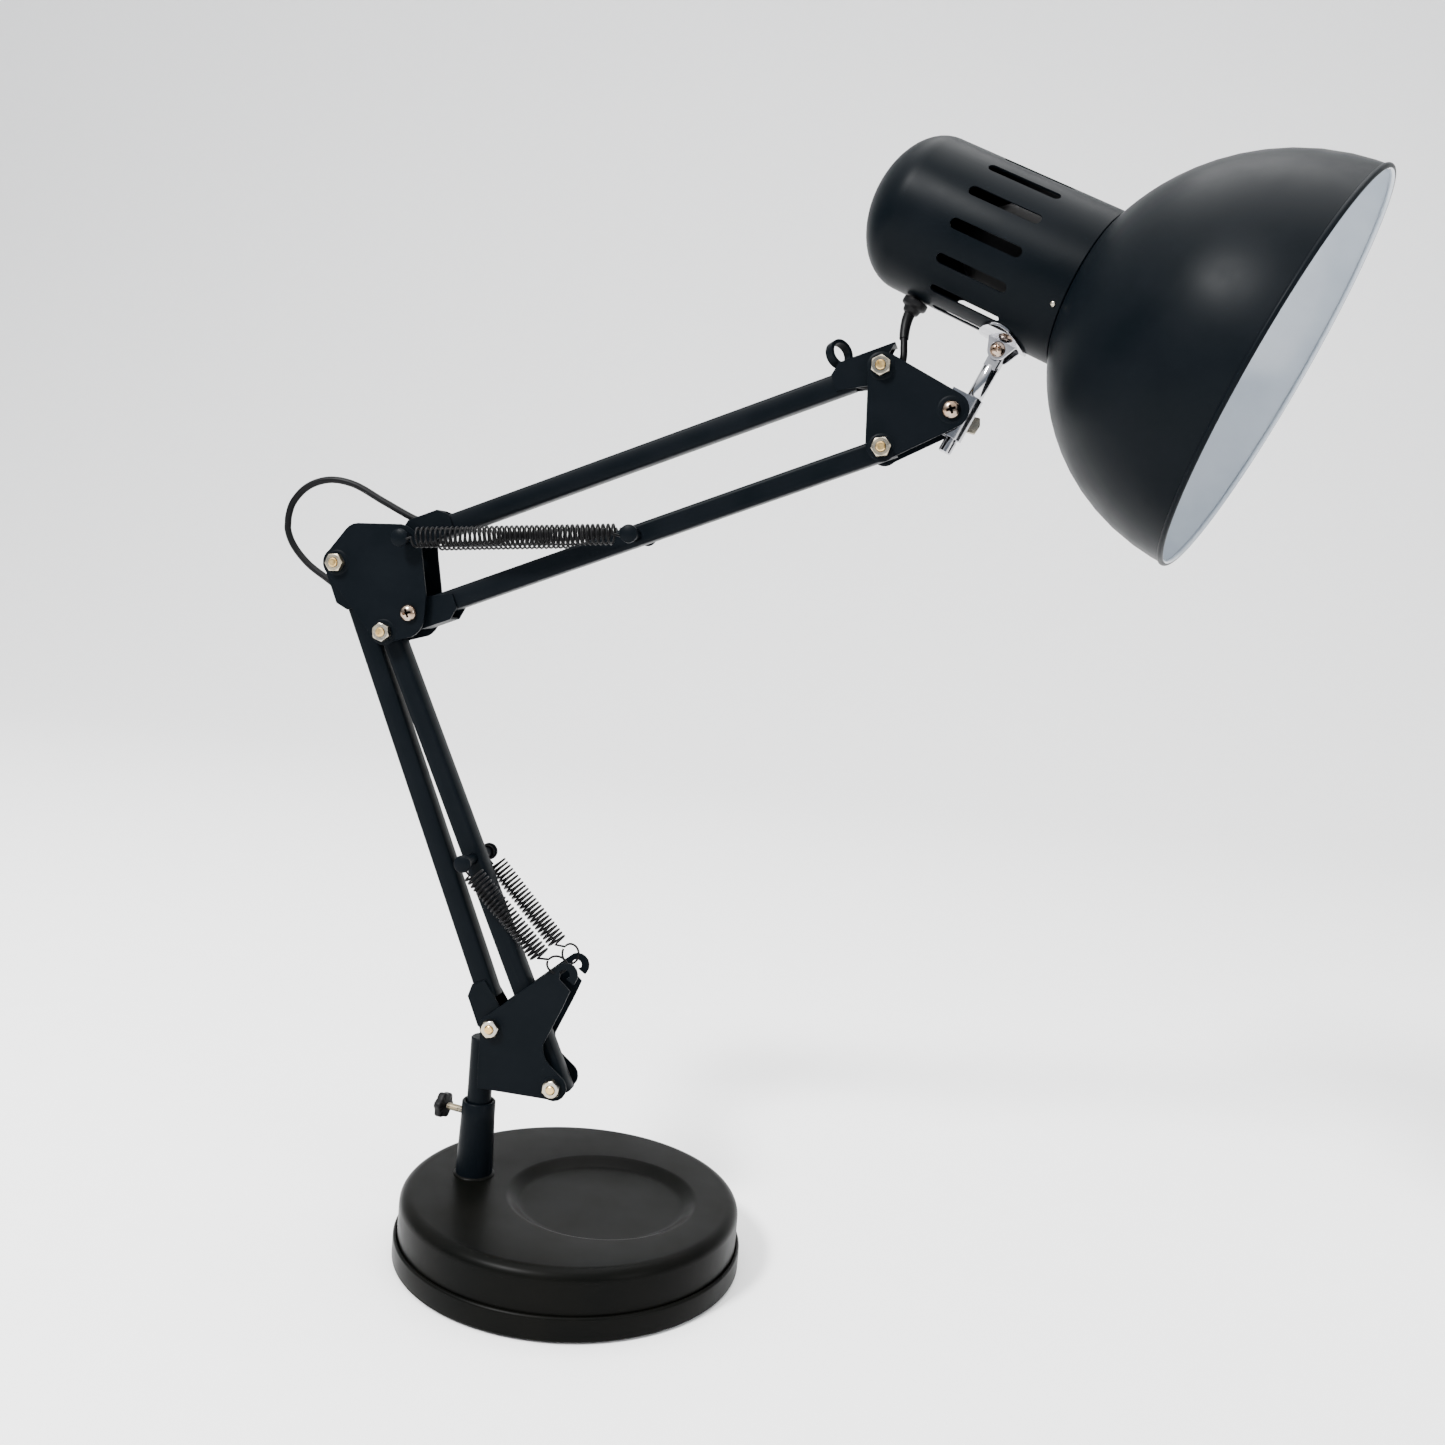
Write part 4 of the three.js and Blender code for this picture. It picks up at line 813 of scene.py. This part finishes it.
def make_socket():
    body = [(0, -60), (11.5, -60), (13.5, -57.5), (19.4, -49), (20.2, -46), (20.2, -20), (19.9, -19.7),
            (20.2, -19.4), (20.2, 8.2), (19.4, 9), (14.6, 9), (13.9, 8.3)]
    h = 7.6
    while h > -20:  # the lamp cap's rounded thread
        body += [(13.6, h), (14.1, h - 0.9), (14.2, h - 1.6), (13.7, h - 2.4)]
        h -= 3.1
    body += [(13.6, -23.6), (13.2, -24), (0, -24)]
    piece("lampholder_body", lathe(HEAD, body, 96, closed=False), PLASTIC, "head",
          ["lampholder"])
    contact = [(0, 0), (3.4, 0), (3.3, 0.5), (1.5, 1.8), (0, 2.2)]
    floor = (in_head(-23.95, 0, 0), HEAD_X, HEAD_Y, HEAD_Z)
    piece("lampholder_contact", lathe(floor, contact, 24, closed=False), BRASS, "head")
    ring = softened([(20.5, -0.35), (27, -0.35), (27, 0.9), (23.2, 3.2), (20.5, 3.2)], 0.4)
    piece("shade_ring_body", lathe(HEAD, ring, 96), PLASTIC, "head", ["shade_ring"])
    ribs, rib = [], [(23.6, -0.5), (27.05, -0.5), (27.05, 0.5), (23.6, 0.5)]
    for k in range(24):
        a = 2 * math.pi * k / 24
        out = HEAD_Y * math.cos(a) + HEAD_Z * math.sin(a)
        ribs.append(prism(rib, (SEAM, HEAD_X, out, HEAD_X.cross(out)), 0.4, 1.9))
    piece("shade_ring_ribs", merged(*ribs), PLASTIC, "head", angle=30)


def make_saddle():
    fine("saddle_plate", CHROME, "head", 0.2, angle=50)
    side = (HINGE, -HEAD_Y, HEAD_X, -HEAD_Z)
    head = [(0, 5.3), (3.2, 5.3), (3.4, 5.5), (3.3, 6.2), (2.6, 7.0), (1.3, 7.5), (0, 7.6)]
    screw = piece("hinge_screw_head", lathe(side, head, 40, closed=False), NICKEL_WITH_PAINTED_REFLECTION, "head",
                  ["saddle_screw"])
    cut_cross(screw, side, 35, (0.9, 0.34, 6.2), (2.2, 0.5, 8.2))
    far = (HINGE, HEAD_Y, HEAD_X, HEAD_Z)
    hinge_nut = nut((HINGE + HEAD_Y * 5.3, *far[1:]), 5.9, 2.6, 1.6)
    thread = threaded(far, 1.9, -5.6, 8.9, pitch=0.7, plain=11)
    piece("hinge_screw_nut", merged(hinge_nut, thread), ZINC, "head", angle=28)


def make_gland():
    place = (in_head(GLAND_AT, 0, 0), -HEAD_Z, HEAD_X, -HEAD_Y)
    r = SLEEVE_R + 0.6
    profile = [(1.85, r), (5.4, r), (5.9, r + 0.4), (5.9, r + 2.6), (5.5, r + 3.3), (4.4, r + 3.8),
               (4.1, r + 4.2), (3.8, r + 5.6), (3.3, r + 6.3), (2.7, r + 6.5), (1.85, r + 6.3)]
    piece("gland_body", lathe(place, profile, 48), PLASTIC, "head", ["cord_gland"], angle=45)
    low = math.radians(-30)
    rivet = spun(in_head(-3.6, 0, 0), HEAD_Z * math.sin(low) - HEAD_Y * math.cos(low))
    r = SLEEVE_R
    dome = [(0, r - 0.2), (1.15, r - 0.2), (1.15, r + 0.15), (0.8, r + 0.5), (0, r + 0.62)]
    piece("sleeve_rivet", lathe(rivet, dome, 24, closed=False), ZINC, "head")


make_base()
make_post()
make_hardware()
make_arm()
make_springs()
make_knuckle()
make_sleeve()
make_shade()
make_socket()
make_saddle()
make_gland()


# ---------------------------------------------------------------- floor and light
def make_studio():
    points = [(-2.6, 0.0), (1.6, 0.0)]
    for k in range(1, 13):
        a = math.radians(90 * k / 12)
        points.append((1.6 + 1.4 * math.sin(a), 1.4 - 1.4 * math.cos(a)))
    points.append((3.0, 4.2))
    mesh = bpy.data.meshes.new("backdrop")
    verts = [(x, y, z) for y, z in points for x in (-4.5, 4.5)]
    faces = [(2 * i, 2 * i + 1, 2 * i + 3, 2 * i + 2) for i in range(len(points) - 1)]
    mesh.from_pydata(verts, [], faces)
    mesh.materials.append(surface("pale_backdrop", (0.86,) * 3, 0.85, tint=(0.87,) * 3, bump=0.0))
    mesh.shade_smooth()
    backdrop = bpy.data.objects.new("backdrop", mesh)
    bpy.context.scene.collection.objects.link(backdrop)

    world = bpy.data.worlds.new("studio")
    world.use_nodes = True
    nodes, links = world.node_tree.nodes, world.node_tree.links
    direction = nodes.new("ShaderNodeTexCoord")
    split = nodes.new("ShaderNodeSeparateXYZ")
    links.new(direction.outputs["Generated"], split.inputs["Vector"])
    sky = nodes.new("ShaderNodeValToRGB")  # a dim room below a bright ceiling
    sky.color_ramp.elements[0].position, sky.color_ramp.elements[0].color = 0.15, (0.14, 0.155, 0.175, 1)
    sky.color_ramp.elements[1].position, sky.color_ramp.elements[1].color = 0.8, (1, 1, 1, 1)
    links.new(split.outputs["Z"], sky.inputs["Fac"])
    links.new(sky.outputs["Color"], nodes["Background"].inputs["Color"])
    nodes["Background"].inputs["Strength"].default_value = 2.4
    bpy.context.scene.world = world

    def softbox(name, spot, target, size, power, color=(1, 1, 1)):
        data = bpy.data.lights.new(name, "AREA")
        data.shape, data.size, data.size_y = "RECTANGLE", size[0], size[1]
        data.energy, data.color = power, color
        light = bpy.data.objects.new(name, data)
        light.location = spot
        light.rotation_euler = (Vector(target) - Vector(spot)).to_track_quat("-Z", "Y").to_euler()
        bpy.context.scene.collection.objects.link(light)

    softbox("key", (-0.9, -1.5, 1.9), (0, 0, 0.25), (0.4, 0.4), 150)
    softbox("fill", (1.9, -1.2, 0.9), (0.1, 0, 0.3), (0.5, 0.8), 16)
    softbox("top", (0.2, 0.3, 2.3), (0, 0, 0.2), (1.8, 1.8), 56)


make_studio()
